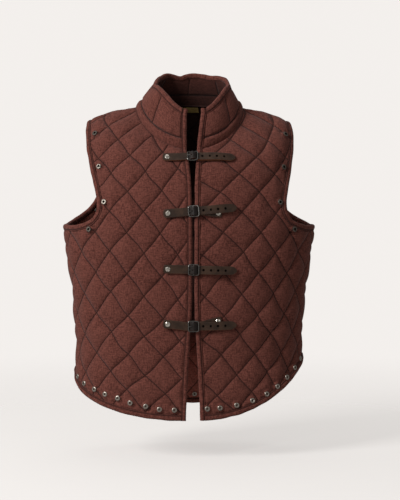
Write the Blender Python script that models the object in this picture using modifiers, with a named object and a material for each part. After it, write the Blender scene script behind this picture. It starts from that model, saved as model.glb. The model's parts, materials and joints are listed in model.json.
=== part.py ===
"""A sleeveless quilted arming vest (gambeson) with a stand collar and four strap-and-buckle closures.

Metres, +Z up. The front faces -Y and the wearer's left side is +X. The origin is on the centre
line at the height of the shoulder neck points, where the wearer's shoulders carry the garment.
"""

import math

import bmesh
import bpy
from mathutils import Matrix, Vector

# ---- driving sizes ----
WALL = 0.0080  # quilted cloth with its padding
COLLAR_WALL = 0.0070
SEAM_GAP = 0.0003
BINDING_WIDTH = 0.0110
BINDING_PROUD = 0.0005
STRAP_WIDTH = 0.0170
BILLET_THICK = 0.0020
CHAPE_THICK = 0.0018
BAR_RADIUS = 0.0012
PRONG_RADIUS = 0.0009
LABEL_CLEAR = 0.0022

FRONT_COLUMNS = 11
BACK_COLUMNS = 22  # an even number
SIDE_ROWS = 8  # hem to underarm
ARMHOLE_ROWS = 15  # underarm to shoulder tip
SHOULDER_ROWS = 5  # shoulder tip to neck seam

# Rings round the body, hem to neck seam. side_* is the side line's point, *_power how the ring's
# height runs from the side to the middle of the front or back, roundness 2 is an ellipse.
BODY_COLUMNS = (
    "name", "side_x", "side_y", "side_z", "front_y", "front_z", "back_y", "back_z",
    "roundness", "front_power", "back_power", "shift_x",
)
BODY_SECTIONS = (
    ("hem", 0.240, 0.000, -0.534, -0.128, -0.634, 0.124, -0.630, 2.3, 1.8, 1.8, 0.0),
    ("waist", 0.236, 0.000, -0.480, -0.124, -0.520, 0.115, -0.515, 2.3, 1.6, 1.6, 0.0),
    ("ribs", 0.245, 0.000, -0.375, -0.131, -0.400, 0.124, -0.395, 2.3, 1.5, 1.5, 0.0),
    ("chest", 0.257, 0.000, -0.290, -0.136, -0.305, 0.130, -0.300, 2.3, 1.4, 1.4, 0.0),
    ("underarm", 0.2615, 0.000, -0.243, -0.136, -0.252, 0.130, -0.246, 2.3, 1.4, 1.4, 0.0),
    ("blade", 0.249, 0.000, -0.180, -0.133, -0.208, 0.129, -0.190, 2.3, 1.4, 1.4, 0.0),
    ("upper_arm", 0.232, 0.000, -0.103, -0.126, -0.168, 0.123, -0.128, 2.3, 1.4, 1.4, 0.0),
    ("shoulder_tip", 0.212, 0.000, -0.031, -0.117, -0.136, 0.111, -0.064, 2.2, 1.4, 1.4, 0.0),
    ("shoulder", 0.165, -0.002, -0.007, -0.105, -0.110, 0.092, -0.022, 2.1, 1.3, 1.3, 0.0),
    ("neck", 0.114, -0.006, 0.003, -0.090, -0.089, 0.070, 0.014, 2.0, 1.2, 1.2, 0.0),
)
COLLAR_SECTIONS = (
    ("neck", 0.114, -0.006, 0.003, -0.090, -0.089, 0.070, 0.014, 2.0, 1.2, 1.2, 0.0),
    ("middle", 0.096, -0.008, 0.027, -0.088, -0.050, 0.065, 0.048, 2.1, 1.7, 1.0, 0.002),
    ("rim", 0.075, -0.010, 0.050, -0.080, -0.012, 0.057, 0.080, 2.2, 2.4, 0.6, 0.006),
)
# Soft bends in the back of the rim: place across, spread and rise.
RIM_BENDS = ((-0.046, 0.011, 0.005), (-0.016, 0.013, -0.008), (0.048, 0.014, -0.003))
# The hem rises from the middle of the front to each side, more on the wearer's left.
HEM_COLUMNS = ("side_sign", "even_rise", "corner_rise")
HEM_RISES = ((-1, 0.055, 0.031), (1, 0.115, 0.000))

HEM_K, UNDERARM_K, TIP_K, NECK_K = 0.0, 4.0, 7.0, 9.0
# How far each armhole edge swings away from the side line: its greatest swing, where that lies
# between underarm and tip (a smaller lean puts it lower) and how full the curve is.
ARMHOLE_COLUMNS = ("swing", "lean", "fullness")
ARMHOLE_FRONT = (math.radians(26.5), 0.50, 0.60)
ARMHOLE_BACK = (math.radians(-25.0), 0.85, 0.70)
NORMAL_STEP = 0.04

# Half the gap between the fronts, hem to collar rim.
GAP_COLUMNS = ("height", "half_gap")
FRONT_GAP = (
    (-0.634, 0.0134), (-0.580, 0.0112), (-0.493, 0.0070), (-0.450, 0.0028), (-0.370, 0.0015),
    (-0.300, 0.0015), (-0.215, 0.0019), (-0.150, 0.0034), (-0.120, 0.0060), (-0.097, 0.0095),
    (-0.060, 0.0125), (-0.012, 0.0155),
)

# Closures, top to bottom: height of the buckle, tilt of the strap and how far each end droops.
CLOSURE_COLUMNS = ("name", "height", "tilt_degrees", "rivet_rise", "chape_drop")
CLOSURES = (
    ("1", -0.1068, -1.2, -0.002, 0.000),
    ("2", -0.2160, 4.8, 0.000, -0.0075),
    ("3", -0.3318, -1.5, 0.000, 0.000),
    ("4", -0.4445, 1.0, 0.005, 0.0085),
)
BILLET_START, BILLET_END = -0.0600, 0.0860
BILLET_RIVET = -0.0510
BILLET_HOLES = (0.0195, 0.0345, 0.0483, 0.0628)
CHAPE_END, CHAPE_RIVET = 0.0560, 0.0495
HOLE_RADIUS = 0.0019
PLANE_REACH, PLANE_FADE = 0.0130, 0.0120
BUCKLE_REACH = 0.0100  # centre bar to either end bar
BUCKLE_HALF_HEIGHT = 0.0102
LEFT_BAR_HEIGHT, MIDDLE_BAR_HEIGHT, RIGHT_BAR_HEIGHT = 0.0049, 0.0043, 0.0071

EYELET_RADIUS, EYELET_HOLE, EYELET_HEIGHT, EYELET_LIFT = 0.0056, 0.0026, 0.0012, 0.0009
# Eyelets along the armhole: distance from the shoulder tip, and from the finished edge.
EYELETS_FRONT = ((0.061, 0.0265), (0.137, 0.0215), (0.211, 0.0165), (0.280, 0.0165))
EYELETS_BACK = ((0.061, 0.0165), (0.121, 0.0165), (0.181, 0.0165), (0.240, 0.0165))
RIVET_RADIUS, RIVET_HEIGHT = 0.0052, 0.0017

MATERIALS = {
    "cloth": ((0.125, 0.047, 0.035), 0.92, 0.0),
    "cloth_binding": ((0.130, 0.049, 0.037), 0.90, 0.0),
    "leather": ((0.040, 0.022, 0.014), 0.55, 0.0),
    "gunmetal": ((0.080, 0.080, 0.078), 0.35, 1.0),
    "nickel": ((0.480, 0.440, 0.390), 0.32, 1.0),
    "tape": ((0.210, 0.160, 0.045), 0.80, 0.0),
}


# ---- scene set-up ----
def clear_scene():
    for item in list(bpy.data.objects):
        bpy.data.objects.remove(item, do_unlink=True)


def new_collection(name):
    found = bpy.data.collections.new(name)
    bpy.context.scene.collection.children.link(found)
    return found


def material_for(part_name, kind):
    colour, roughness, metallic = MATERIALS[kind]
    material = bpy.data.materials.new(part_name + "_" + kind)
    material.use_nodes = True
    shader = material.node_tree.nodes["Principled BSDF"]
    shader.inputs["Base Color"].default_value = (*colour, 1.0)
    shader.inputs["Roughness"].default_value = roughness
    shader.inputs["Metallic"].default_value = metallic
    return material


def add_mesh(name, mesh, kind, collection, sharp=math.radians(40)):
    mesh.shade_smooth()
    mesh.set_sharp_from_angle(angle=sharp)
    mesh.materials.clear()
    mesh.materials.append(material_for(name, kind))
    obj = bpy.data.objects.new(name, mesh)
    collection.objects.link(obj)
    return obj


# ---- the surface of the garment ----
def spline(values, at):
    """Catmull-Rom through evenly spaced values."""
    last = len(values) - 1
    low = min(max(int(math.floor(at)), 0), last - 1)
    part = at - low
    before = values[low - 1] if low > 0 else 2 * values[low] - values[low + 1]
    after = values[low + 2] if low + 2 <= last else 2 * values[low + 1] - values[low]
    start, end = values[low], values[low + 1]
    slope_a = (end - before) / 2
    slope_b = (after - start) / 2
    cube, square = part**3, part**2
    return (
        (2 * cube - 3 * square + 1) * start
        + (cube - 2 * square + part) * slope_a
        + (3 * square - 2 * cube) * end
        + (cube - square) * slope_b
    )


def from_table(rows, height):
    """Straight-line reading of a two-column table."""
    if height <= rows[0][0]:
        return rows[0][1]
    for (low, a), (high, b) in zip(rows, rows[1:]):
        if height <= high:
            return a + (b - a) * (height - low) / (high - low)
    return rows[-1][1]


def section_at(sections, at):
    columns = zip(*[row[1:] for row in sections])
    return [spline(list(column), at) for column in columns]


def hem_shift(at, reach, front, sign):
    """How much the ring near the hem moves up from its plain height."""
    if at >= 1.0:
        return 0.0
    _, even_rise, corner_rise = HEM_RISES[1 if sign > 0 else 0]
    side_z, front_z, back_z = (BODY_SECTIONS[0][i] for i in (3, 5, 7))
    power = BODY_SECTIONS[0][9]
    rise = even_rise + corner_rise
    if front:
        wanted = front_z + even_rise * (1 - reach**2) + corner_rise * (1 - reach) ** 3
        plain = side_z + (front_z - side_z) * reach**power
    else:
        wanted = front_z + rise + (back_z - front_z - rise) * reach**power
        plain = side_z + (back_z - side_z) * reach**power
    return (wanted - plain) * (1.0 - at) ** 2


def rim_shift(at, x):
    """How much the back of the collar bends up or down, most at the rim."""
    bends = (rise * math.exp(-(((x - middle) / spread) ** 2)) for middle, spread, rise in RIM_BENDS)
    return sum(bends) * (max(at, 0.0) / 2) ** 2


def surface(sections, angle, at):
    """Point of the outer face: angle 0 is centre front, +90 degrees the wearer's left side."""
    values = section_at(sections, at)
    side_x, side_y, side_z, front_y, front_z, back_y, back_z, roundness = values[:8]
    front_power, back_power, shift_x = values[8:]
    across, along = math.sin(angle), math.cos(angle)
    depth = side_y - front_y if along > 0 else back_y - side_y
    middle_z, power = (front_z, front_power) if along > 0 else (back_z, back_power)
    size = (abs(across) / side_x) ** roundness + (abs(along) / depth) ** roundness
    radius = size ** (-1.0 / roundness)
    reach = min(1.0, radius * abs(along) / depth)
    height = side_z + (middle_z - side_z) * reach**power
    if sections is BODY_SECTIONS:
        height += hem_shift(at, reach, along > 0, across)
    elif along < 0:
        height += rim_shift(at, radius * across + shift_x)
    return Vector((radius * across + shift_x, side_y - radius * along, height))


def partials(sections, angle, at, step=1e-4):
    by_angle = surface(sections, angle + step, at) - surface(sections, angle - step, at)
    by_at = surface(sections, angle, at + step) - surface(sections, angle, at - step)
    return by_angle / (2 * step), by_at / (2 * step)


def outward(sections, angle, at):
    """Unit normal, taken over a wide step so that the two sides of a seam share it."""
    by_angle, by_at = partials(sections, angle, at, NORMAL_STEP)
    return by_angle.cross(by_at).normalized()


def moved(sections, place, direction):
    """The place (angle, at) that lies about direction away, measured on the surface."""
    angle, at = place
    for _ in range(2):
        by_angle, by_at = partials(sections, angle, at)
        aim = surface(sections, *place) + direction
        rest = aim - surface(sections, angle, at)
        aa, ab, bb = by_angle.dot(by_angle), by_angle.dot(by_at), by_at.dot(by_at)
        ra, rb = by_angle.dot(rest), by_at.dot(rest)
        determinant = aa * bb - ab * ab
        angle += (ra * bb - rb * ab) / determinant
        at += (rb * aa - ra * ab) / determinant
    return angle, at


def on_front(x, z):
    """Place on the body's front at a width and height."""
    angle, at = math.atan2(x, 0.13), 4.0
    for _ in range(30):
        here = surface(BODY_SECTIONS, angle, at)
        by_angle, by_at = partials(BODY_SECTIONS, angle, at)
        determinant = by_angle.x * by_at.z - by_at.x * by_angle.z
        dx, dz = x - here.x, z - here.z
        angle += (dx * by_at.z - dz * by_at.x) / determinant
        at += (dz * by_angle.x - dx * by_angle.z) / determinant
        at = min(max(at, 0.0), NECK_K)
    return angle, at


# ---- edges, as places (angle, at) ----
def gap_angle(sections, at, more=0.0):
    """Angle of the front edge, moved `more` metres away from the middle."""
    row = section_at(sections, at)
    half = from_table(FRONT_GAP, row[4]) + more
    return math.atan2(half, row[1] - row[3])


def armhole_angle(at, shape):
    swing, lean, fullness = shape
    share = min(max((at - UNDERARM_K) / (TIP_K - UNDERARM_K), 0.0), 1.0)
    return math.pi / 2 - swing * max(0.0, math.sin(math.pi * share**lean)) ** fullness


def even(places, count, sections):
    """The same line with `count` steps of even length."""
    points = [surface(sections, *place) for place in places]
    lengths = [0.0]
    for a, b in zip(points, points[1:]):
        lengths.append(lengths[-1] + (b - a).length)
    found, index = [], 0
    for step in range(count + 1):
        target = lengths[-1] * step / count
        while index < len(lengths) - 2 and lengths[index + 1] < target:
            index += 1
        share = (target - lengths[index]) / max(lengths[index + 1] - lengths[index], 1e-9)
        a, b = places[index], places[index + 1]
        found.append((a[0] + (b[0] - a[0]) * share, a[1] + (b[1] - a[1]) * share))
    return found


def inset(places, distance, sections, side):
    """The line moved across itself by distance, to the side +1 or -1 seen from outside."""
    found = []
    for index, place in enumerate(places):
        before = surface(sections, *places[max(index - 1, 0)])
        after = surface(sections, *places[min(index + 1, len(places) - 1)])
        inward = outward(sections, *place).cross(after - before).normalized() * side
        found.append(moved(sections, place, inward * distance))
    return found


def armhole_line(shape, steps=60):
    """Finished armhole edge of the front or back quarter, underarm to shoulder tip."""
    line = []
    for step in range(steps + 1):
        share = (1 - math.cos(math.pi * step / steps)) / 2
        at = UNDERARM_K + (TIP_K - UNDERARM_K) * share
        line.append((armhole_angle(at, shape), at))
    return line


def hem_place(angle, distance):
    """Place that lies `distance` above the finished hem."""
    by_angle, _ = partials(BODY_SECTIONS, angle, HEM_K)
    up = outward(BODY_SECTIONS, angle, HEM_K).cross(by_angle).normalized()
    return moved(BODY_SECTIONS, (angle, HEM_K), up * distance)


def side_angle(at, distance, toward_front=True):
    """The side line, moved off it by distance."""
    by_angle, _ = partials(BODY_SECTIONS, math.pi / 2, at)
    turn = distance / by_angle.length
    return math.pi / 2 - turn if toward_front else math.pi / 2 + turn


def armhole_inset(distance, front=True):
    """Line inside the armhole edge, underarm to shoulder tip, its ends on the side line."""
    shape = ARMHOLE_FRONT if front else ARMHOLE_BACK
    line = inset(armhole_line(shape), distance, BODY_SECTIONS, 1 if front else -1)
    ends = []
    for at, way in ((UNDERARM_K, -1), (TIP_K, 1)):
        _, by_at = partials(BODY_SECTIONS, math.pi / 2, at)
        end_at = at + way * distance / by_at.length
        ends.append((side_angle(end_at, SEAM_GAP / 2, front), end_at))
    inner = [place for place in line if ends[0][1] < place[1] < ends[1][1]]
    return [ends[0]] + inner + [ends[1]]


# ---- closed walls and bands ----
def end_faces(bm, start, end):
    """The wall's end between two pairs of (outer, inner) corners, as two triangles. The diagonal
    starts at the lower outer corner, so two pieces that meet at a seam split their ends alike."""
    first, last = (start, end) if tuple(reversed(start[0].co)) < tuple(reversed(end[0].co)) else (end, start)
    bm.faces.new((first[0], last[0], last[1]))
    bm.faces.new((first[0], last[1], first[1]))


def wall(name, outer, inner, kind, collection, more=()):
    """Closed solid between two like grids of points; `more` adds pairs of grids that share points."""
    bm = bmesh.new()
    pairs = {}

    def pair_at(out_point, in_point):
        key = tuple(round(value, 6) for value in out_point)
        if key not in pairs:
            pairs[key] = (bm.verts.new(out_point), bm.verts.new(in_point))
        return pairs[key]

    edges = {}
    for out_grid, in_grid in ((outer, inner), *more):
        grid = [[pair_at(*both) for both in zip(*rows)] for rows in zip(out_grid, in_grid)]
        for low, high in zip(grid, grid[1:]):
            for a, b, c, d in zip(low, low[1:], high[1:], high):
                bm.faces.new([corner[0] for corner in (a, b, c, d)])
                bm.faces.new([corner[1] for corner in (d, c, b, a)])
                for start, end in ((a, b), (b, c), (c, d), (d, a)):
                    if (end, start) in edges:
                        del edges[(end, start)]
                    else:
                        edges[(start, end)] = True
    for start, end in edges:
        end_faces(bm, start, end)
    bmesh.ops.recalc_face_normals(bm, faces=bm.faces)
    mesh = bpy.data.meshes.new(name)
    bm.to_mesh(mesh)
    bm.free()
    return add_mesh(name, mesh, kind, collection)


def binding_profile(thick):
    """Cross-section of a bound edge, as (away from the panel's edge, out)."""
    near, far, proud = SEAM_GAP, SEAM_GAP + BINDING_WIDTH, BINDING_PROUD
    return (
        (near, 0.0), (near + 0.0015, proud), (far - 0.0030, proud), (far, -0.0030),
        (far, -thick + 0.0030), (far - 0.0030, -thick), (near, -thick),
    )


def away_from(points, normals, side, first=None, last=None):
    """Directions in the surface, across the edge line. At an end that meets another piece the
    direction is given, and lengthened so that the bound edge keeps its width."""
    found = []
    for index, normal in enumerate(normals):
        along = points[min(index + 1, len(points) - 1)] - points[max(index - 1, 0)]
        found.append(normal.cross(along).normalized() * side)
    for index, given in ((0, first), (-1, last)):
        if given is not None:
            found[index] = given / max(given.dot(found[index]), 0.5)
    return found


def band(name, points, normals, aways, thick, collection, closed=False):
    """A bound edge that follows a panel's edge points."""
    bm = bmesh.new()
    rings = []
    for point, normal, away in zip(points, normals, aways):
        rings.append([bm.verts.new(point + away * a + normal * b) for a, b in binding_profile(thick)])
    pairs = list(zip(rings, rings[1:])) + ([(rings[-1], rings[0])] if closed else [])
    for low, high in pairs:
        for a, b, c, d in zip(low, low[1:], high[1:], high):
            bm.faces.new((a, b, c, d))
        end_faces(bm, (low[0], low[-1]), (high[0], high[-1]))
    if not closed:
        bm.faces.new(rings[0])
        bm.faces.new(rings[-1])
    bmesh.ops.recalc_face_normals(bm, faces=bm.faces)
    mesh = bpy.data.meshes.new(name)
    bm.to_mesh(mesh)
    bm.free()
    return add_mesh(name, mesh, "cloth_binding", collection)


def flip(places, sign):
    return [(angle * sign, at) for angle, at in places]


def faces_between(sections, grid, thick):
    """Outer and inner points of a grid of places."""
    outer = [[surface(sections, *place) for place in row] for row in grid]
    inner = [
        [surface(sections, *place) - outward(sections, *place) * thick for place in row]
        for row in grid
    ]
    return outer, inner


# ---- the cut pieces ----
def panel_grid(sign, front):
    """Places of one front or one half of the back, at positive angles, in rows from hem to neck.
    sign is +1 on the wearer's left. Each row runs from the middle to the side or armhole."""
    clear = BINDING_WIDTH + SEAM_GAP
    columns = FRONT_COLUMNS if front else BACK_COLUMNS // 2
    armhole = even(armhole_inset(clear, front), ARMHOLE_ROWS, BODY_SECTIONS)
    underarm_at, tip_at = armhole[0][1], armhole[-1][1]
    _, by_at = partials(BODY_SECTIONS, math.pi / 2, NECK_K)
    neck_at = NECK_K - SEAM_GAP / 2 / by_at.length

    def row_angles(at, side):
        middle = gap_angle(BODY_SECTIONS, at, clear) if front else math.pi
        return [middle + (side - middle) * step / columns for step in range(columns + 1)]

    rows = []
    for index in range(SIDE_ROWS):
        share = index / SIDE_ROWS
        rough = underarm_at * share
        row = []
        for angle in row_angles(rough, side_angle(rough, SEAM_GAP / 2, front)):
            low = hem_place(sign * angle, clear)[1]
            row.append((angle, low + (underarm_at - low) * share))
        rows.append(row)
    for side, at in armhole:
        rows.append([(angle, at) for angle in row_angles(at, side)])
    for index in range(1, SHOULDER_ROWS + 1):
        at = tip_at + (neck_at - tip_at) * index / SHOULDER_ROWS
        side = side_angle(at, SEAM_GAP / 2, front)
        rows.append([(angle, at) for angle in row_angles(at, side)])
    return rows


def make_panels(collection, fronts, backs):
    for name, sign in (("front_left", 1), ("front_right", -1)):
        places = [flip(row, sign) for row in fronts[sign]]
        outer, inner = faces_between(BODY_SECTIONS, places, WALL)
        wall(name, outer, inner, "cloth", collection)
    # The back is cut in one piece, with no seam down its middle.
    left = [list(reversed(row)) for row in backs[1]]
    right = [[(2 * math.pi - angle, at) for angle, at in row] for row in backs[-1]]
    left_faces = faces_between(BODY_SECTIONS, left, WALL)
    right_faces = faces_between(BODY_SECTIONS, right, WALL)
    wall("back", *left_faces, "cloth", collection, more=[right_faces])


COLLAR_ROWS = 5
COLLAR_CLEAR = 0.0014  # more room beside the front bindings, where the collar turns up
NECK_CLEAR = 0.0007
COLLAR_BASE = 0.0060  # how far the collar's foot reaches down beside the panels' neck edges


def collar_top_at(angle, distance):
    """Row of the collar that lies `distance` below its finished rim."""
    _, by_at = partials(COLLAR_SECTIONS, angle, 2.0)
    return 2.0 - distance / by_at.length


def collar_grid(front, back):
    """Places of the collar's left half. Its columns stand over the panels' neck points."""
    clear = BINDING_WIDTH + SEAM_GAP
    angles = [angle for angle, _ in front[-1][:-1]] + [math.pi / 2]
    angles += [angle for angle, _ in reversed(back[-1][:-1])]
    last = math.pi - SEAM_GAP / 2 / 0.06
    grid = []
    for i in range(COLLAR_ROWS + 1):
        row = []
        for angle in angles:
            at = collar_top_at(angle, clear) * i / COLLAR_ROWS
            start = gap_angle(COLLAR_SECTIONS, at, clear + COLLAR_CLEAR)
            share = (angle - angles[0]) / (angles[-1] - angles[0])
            row.append((start + (last - start) * share, at))
        grid.append(row)
    return grid


def collar_faces(grid):
    """Outer and inner points of the collar, with a foot that reaches down inside the neck edges."""
    outer, inner = faces_between(COLLAR_SECTIONS, grid, COLLAR_WALL)
    foot_outer, foot_inner = [], []
    for j, (angle, _) in enumerate(grid[0]):
        _, inward = partials(BODY_SECTIONS, angle, NECK_K)
        clear = inward.normalized() * NECK_CLEAR
        down = outward(BODY_SECTIONS, angle, NECK_K) * -COLLAR_BASE
        outer[0][j] += clear
        inner[0][j] += clear
        foot_outer.append(outer[0][j] + down)
        foot_inner.append(inner[0][j] + down)
    return [foot_outer] + outer, [foot_inner] + inner


def make_collar(collection, grid):
    for name, sign in (("collar_left", 1), ("collar_right", -1)):
        outer, inner = collar_faces([flip(row, sign) for row in grid])
        wall(name, outer, inner, "cloth", collection)


def on_places(sections, places):
    points = [surface(sections, *place) for place in places]
    normals = [outward(sections, *place) for place in places]
    return points, normals


def way_down(angle, at):
    _, by_at = partials(BODY_SECTIONS, angle, at)
    return -by_at.normalized()


def way_up(angle, at):
    """Along the collar's front edge."""
    _, by_at = partials(COLLAR_SECTIONS, angle, at)
    return by_at.normalized()


def make_front_binding(name, sign, collection, front, collar):
    """One strip up the front edge, from the hem to the collar's rim."""
    body = flip([row[0] for row in front], sign)
    clear = BINDING_WIDTH + SEAM_GAP
    ats = [row[0][1] for row in collar[1:]]
    rise = flip([(gap_angle(COLLAR_SECTIONS, at, clear), at) for at in ats], sign)
    points, normals = on_places(BODY_SECTIONS, body)
    more_points, more_normals = on_places(COLLAR_SECTIONS, rise)
    points += more_points
    normals += more_normals
    points.insert(0, points[0] + way_down(*body[0]) * clear)
    normals.insert(0, normals[0])
    points.append(points[-1] + way_up(*rise[-1]) * clear)
    normals.append(normals[-1])
    aways = away_from(points, normals, sign)
    band(name, points, normals, aways, WALL, collection)


def make_armhole_binding(name, sign, collection, front, back):
    """A closed ring round the armhole, from the underarm up the front and down the back."""
    tip_row = SIDE_ROWS + ARMHOLE_ROWS
    rising = [row[-1] for row in front[SIDE_ROWS : tip_row + 1]]
    falling = [row[-1] for row in reversed(back[SIDE_ROWS : tip_row + 1])]
    rising[0] = (math.pi / 2, rising[0][1])
    rising[-1] = (math.pi / 2, rising[-1][1])
    ring = flip(rising + falling[1:-1], sign)
    points, normals = on_places(BODY_SECTIONS, ring)
    around = points[-1:] + points + points[:1]
    aways = away_from(around, normals[-1:] + normals + normals[:1], -sign)[1:-1]
    band(name, points, normals, aways, WALL, collection, closed=True)


def make_hem_binding(name, places, side, first_place, last_place, collection):
    points, normals = on_places(BODY_SECTIONS, places)
    aways = away_from(points, normals, side, way_down(*first_place), way_down(*last_place))
    band(name, points, normals, aways, WALL, collection)


def make_bindings(collection, fronts, backs, collar):
    for side, sign in (("left", 1), ("right", -1)):
        front, back = fronts[sign], backs[sign]
        make_front_binding("front_binding_" + side, sign, collection, front, collar)
        make_armhole_binding("armhole_binding_" + side, sign, collection, front, back)
        hem = flip(front[0], sign)
        make_hem_binding("hem_binding_" + side, hem, -sign, hem[0], hem[-1], collection)
    hem = list(reversed(backs[1][0]))[:-1] + flip(backs[-1][0], -1)
    make_hem_binding("hem_binding_back", hem, -1, hem[0], hem[-1], collection)
    # Collar rim, between the tops of the two front bindings.
    rim = collar[-1][:-1] + [(math.pi, collar[-1][-1][1])]
    rim += [(2 * math.pi - angle, at) for angle, at in reversed(collar[-1][:-1])]
    points, normals = on_places(COLLAR_SECTIONS, rim)
    aways = away_from(points, normals, 1, way_up(*rim[0]), way_up(*rim[-1]))
    band("collar_binding", points, normals, aways, COLLAR_WALL, collection)


def make_label(collection):
    """Plain blank tape inside the back of the neck."""
    half_width, thick = 0.0195, 0.0007
    outer, inner = [], []
    for at in (8.70, 8.985):
        outer_row, inner_row = [], []
        for step in range(7):
            angle = 0.98 * math.pi + (step / 3 - 1) * half_width / 0.08
            point = surface(BODY_SECTIONS, angle, at)
            normal = outward(BODY_SECTIONS, angle, at)
            outer_row.append(point - normal * (WALL + LABEL_CLEAR))
            inner_row.append(point - normal * (WALL + LABEL_CLEAR + thick))
        outer.append(outer_row)
        inner.append(inner_row)
    wall("neck_label", outer, inner, "tape", collection)


# ---- straps, buckles and metal ----
def frame_at(x, z):
    """Point and axes (along, up, out) on the front at a width and height."""
    place = on_front(x, z)
    point = surface(BODY_SECTIONS, *place)
    out = outward(BODY_SECTIONS, *place)
    up = Vector((0, 0, 1))
    up = (up - out * up.dot(out)).normalized()
    return point, up.cross(out), up, out


def strap_point(closure, along, height, rise):
    """Point and normal over the panels; near the buckle they follow the buckle's own flat plane."""
    _, level, tilt, _, _ = closure
    tilt = math.radians(tilt)
    point, _, _, panel_out = frame_at(along * math.cos(tilt), level + along * math.sin(tilt) + rise)
    middle, _, _, plane_out = frame_at(0.0, level)
    line = cross_strap(closure, plane_out).cross(plane_out)
    on_plane = middle + line * along + plane_out * height
    share = min(1.0, max(0.0, (abs(along) - PLANE_REACH) / PLANE_FADE))
    share *= share * (3 - 2 * share)
    out = plane_out.lerp(panel_out, share).normalized()
    return on_plane.lerp(point + panel_out * height, share), out


def closure_point(closure, along, height):
    """Point `along` the billet from its buckle and `height` above the panels."""
    share = min(1.0, max(0.0, (-along - BUCKLE_REACH) / 0.040))
    return strap_point(closure, along, height, closure[3] * share)


def chape_point(closure, along, height):
    """The chape turns off the strap's line where the billet doesn't lie straight over it."""
    share = max(0.0, (along - BUCKLE_REACH) / (CHAPE_RIVET - BUCKLE_REACH))
    return strap_point(closure, along, height, closure[4] * share)


def ribbon(name, closure, route, point_of, widths, thick, collection):
    """A leather strip along a route of (along, height), with its half-width at each point."""
    places = [point_of(closure, *stop) for stop in route]
    centres = [centre for centre, _ in places]
    outer, inner = [], []
    for index, ((centre, here), half) in enumerate(zip(places, widths)):
        along = centres[min(index + 1, len(centres) - 1)] - centres[max(index - 1, 0)]
        across = cross_strap(closure, here)
        face = along.cross(across).normalized()
        steps = (-1, -0.9, 0, 0.9, 1)
        bevel = (0.72, 1.0, 1.0, 1.0, 0.72)
        outer.append([centre + across * half * s + face * thick / 2 * b for s, b in zip(steps, bevel)])
        inner.append([centre + across * half * s - face * thick / 2 * b for s, b in zip(steps, bevel)])
    return wall(name, outer, inner, "leather", collection)


def cross_strap(closure, out):
    """Unit direction across the strap, in the panel's plane."""
    tilt = math.radians(closure[2])
    up = Vector((-math.sin(tilt), 0, math.cos(tilt)))
    return (up - out * up.dot(out)).normalized()


def end_widths(route, half, start_length, end_length, end_power=2.0):
    """Half-widths along a strip, rounded in at its ends."""
    first, last = route[0][0], route[-1][0]
    found = []
    for along, _ in route:
        width = half
        for near, length, power in (
            (abs(along - first), start_length, 2.0), (abs(last - along), end_length, end_power)
        ):
            if length and near < length:
                width = min(width, half * max(0.12, (1 - (1 - near / length) ** power)) ** (1 / power))
        found.append(width)
    return found


def cut_holes(obj, cutter):
    cut = obj.modifiers.new("holes", "BOOLEAN")
    cut.operation = "DIFFERENCE"
    cut.solver = "EXACT"
    cut.object = cutter


def hole_cutter(name, spots, cutters):
    """Round or long cutters through a strap: spots of (matrix, long half, short half, depth)."""
    bm = bmesh.new()
    for matrix, long_half, short_half, depth in spots:
        size = Matrix.Diagonal((long_half, short_half, depth, 1))
        bmesh.ops.create_cone(
            bm, cap_ends=True, cap_tris=False, segments=12, radius1=1, radius2=1, depth=2,
            matrix=matrix @ size,
        )
    mesh = bpy.data.meshes.new(name)
    bm.to_mesh(mesh)
    bm.free()
    obj = bpy.data.objects.new(name, mesh)
    obj.hide_render = True
    obj.display_type = "WIRE"
    cutters.objects.link(obj)
    return obj


def matrix_at(closure, point, out):
    """Axes along the strap, across it and out of the panel, at a point."""
    across = cross_strap(closure, out)
    along = across.cross(out)
    rotation = Matrix((along, across, out)).transposed().to_4x4()
    return Matrix.Translation(point) @ rotation


# Slots for the prong: place along the strap, then half length, half width and half depth.
BILLET_SLOT_AT, BILLET_SLOT = -0.0043, (0.0032, 0.0016, 0.006)
CHAPE_SLOT_AT, CHAPE_SLOT = -0.0006, (0.0044, 0.0021, 0.008)
HOLE_DEPTH = 0.004

# Routes as (along the strap, height of the leather's middle above the panel).
BILLET_ROUTE = (
    (BILLET_START, 0.0021), (-0.0585, 0.0021), (-0.0560, 0.0021), (-0.0480, 0.0021),
    (-0.0380, 0.0021), (-0.0280, 0.0021), (-0.0200, 0.0021), (-0.0140, 0.0021),
    (-0.0100, 0.0023), (-0.0075, 0.0036), (-0.0050, 0.0062), (-0.0025, 0.0086),
    (0.0000, 0.0094), (0.0025, 0.0089), (0.0050, 0.0073), (0.0075, 0.0055), (0.0100, 0.0043),
    (0.0140, 0.0042), (0.0200, 0.0044), (0.0280, 0.0050), (0.0360, 0.0058), (0.0440, 0.0062),
    (0.0540, 0.0062), (0.0610, 0.0056), (0.0680, 0.0048), (0.0740, 0.0042), (0.0790, 0.0037),
    (0.0825, 0.0034), (0.0848, 0.0032), (BILLET_END, 0.0031),
)
CHAPE_ROUTE = (
    (CHAPE_END, 0.0019), (0.0545, 0.0019), (0.0520, 0.0019), (0.0440, 0.0019),
    (0.0320, 0.0019), (0.0200, 0.0019), (0.0100, 0.0019), (0.0040, 0.0019), (0.0010, 0.0019),
    (-0.0010, 0.0022), (-0.0021, 0.0032), (-0.0024, 0.0043), (-0.0020, 0.0056),
    (-0.0008, 0.0065), (0.0010, 0.0066), (0.0026, 0.0057), (0.0040, 0.0046), (0.0052, 0.0041),
)


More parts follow.
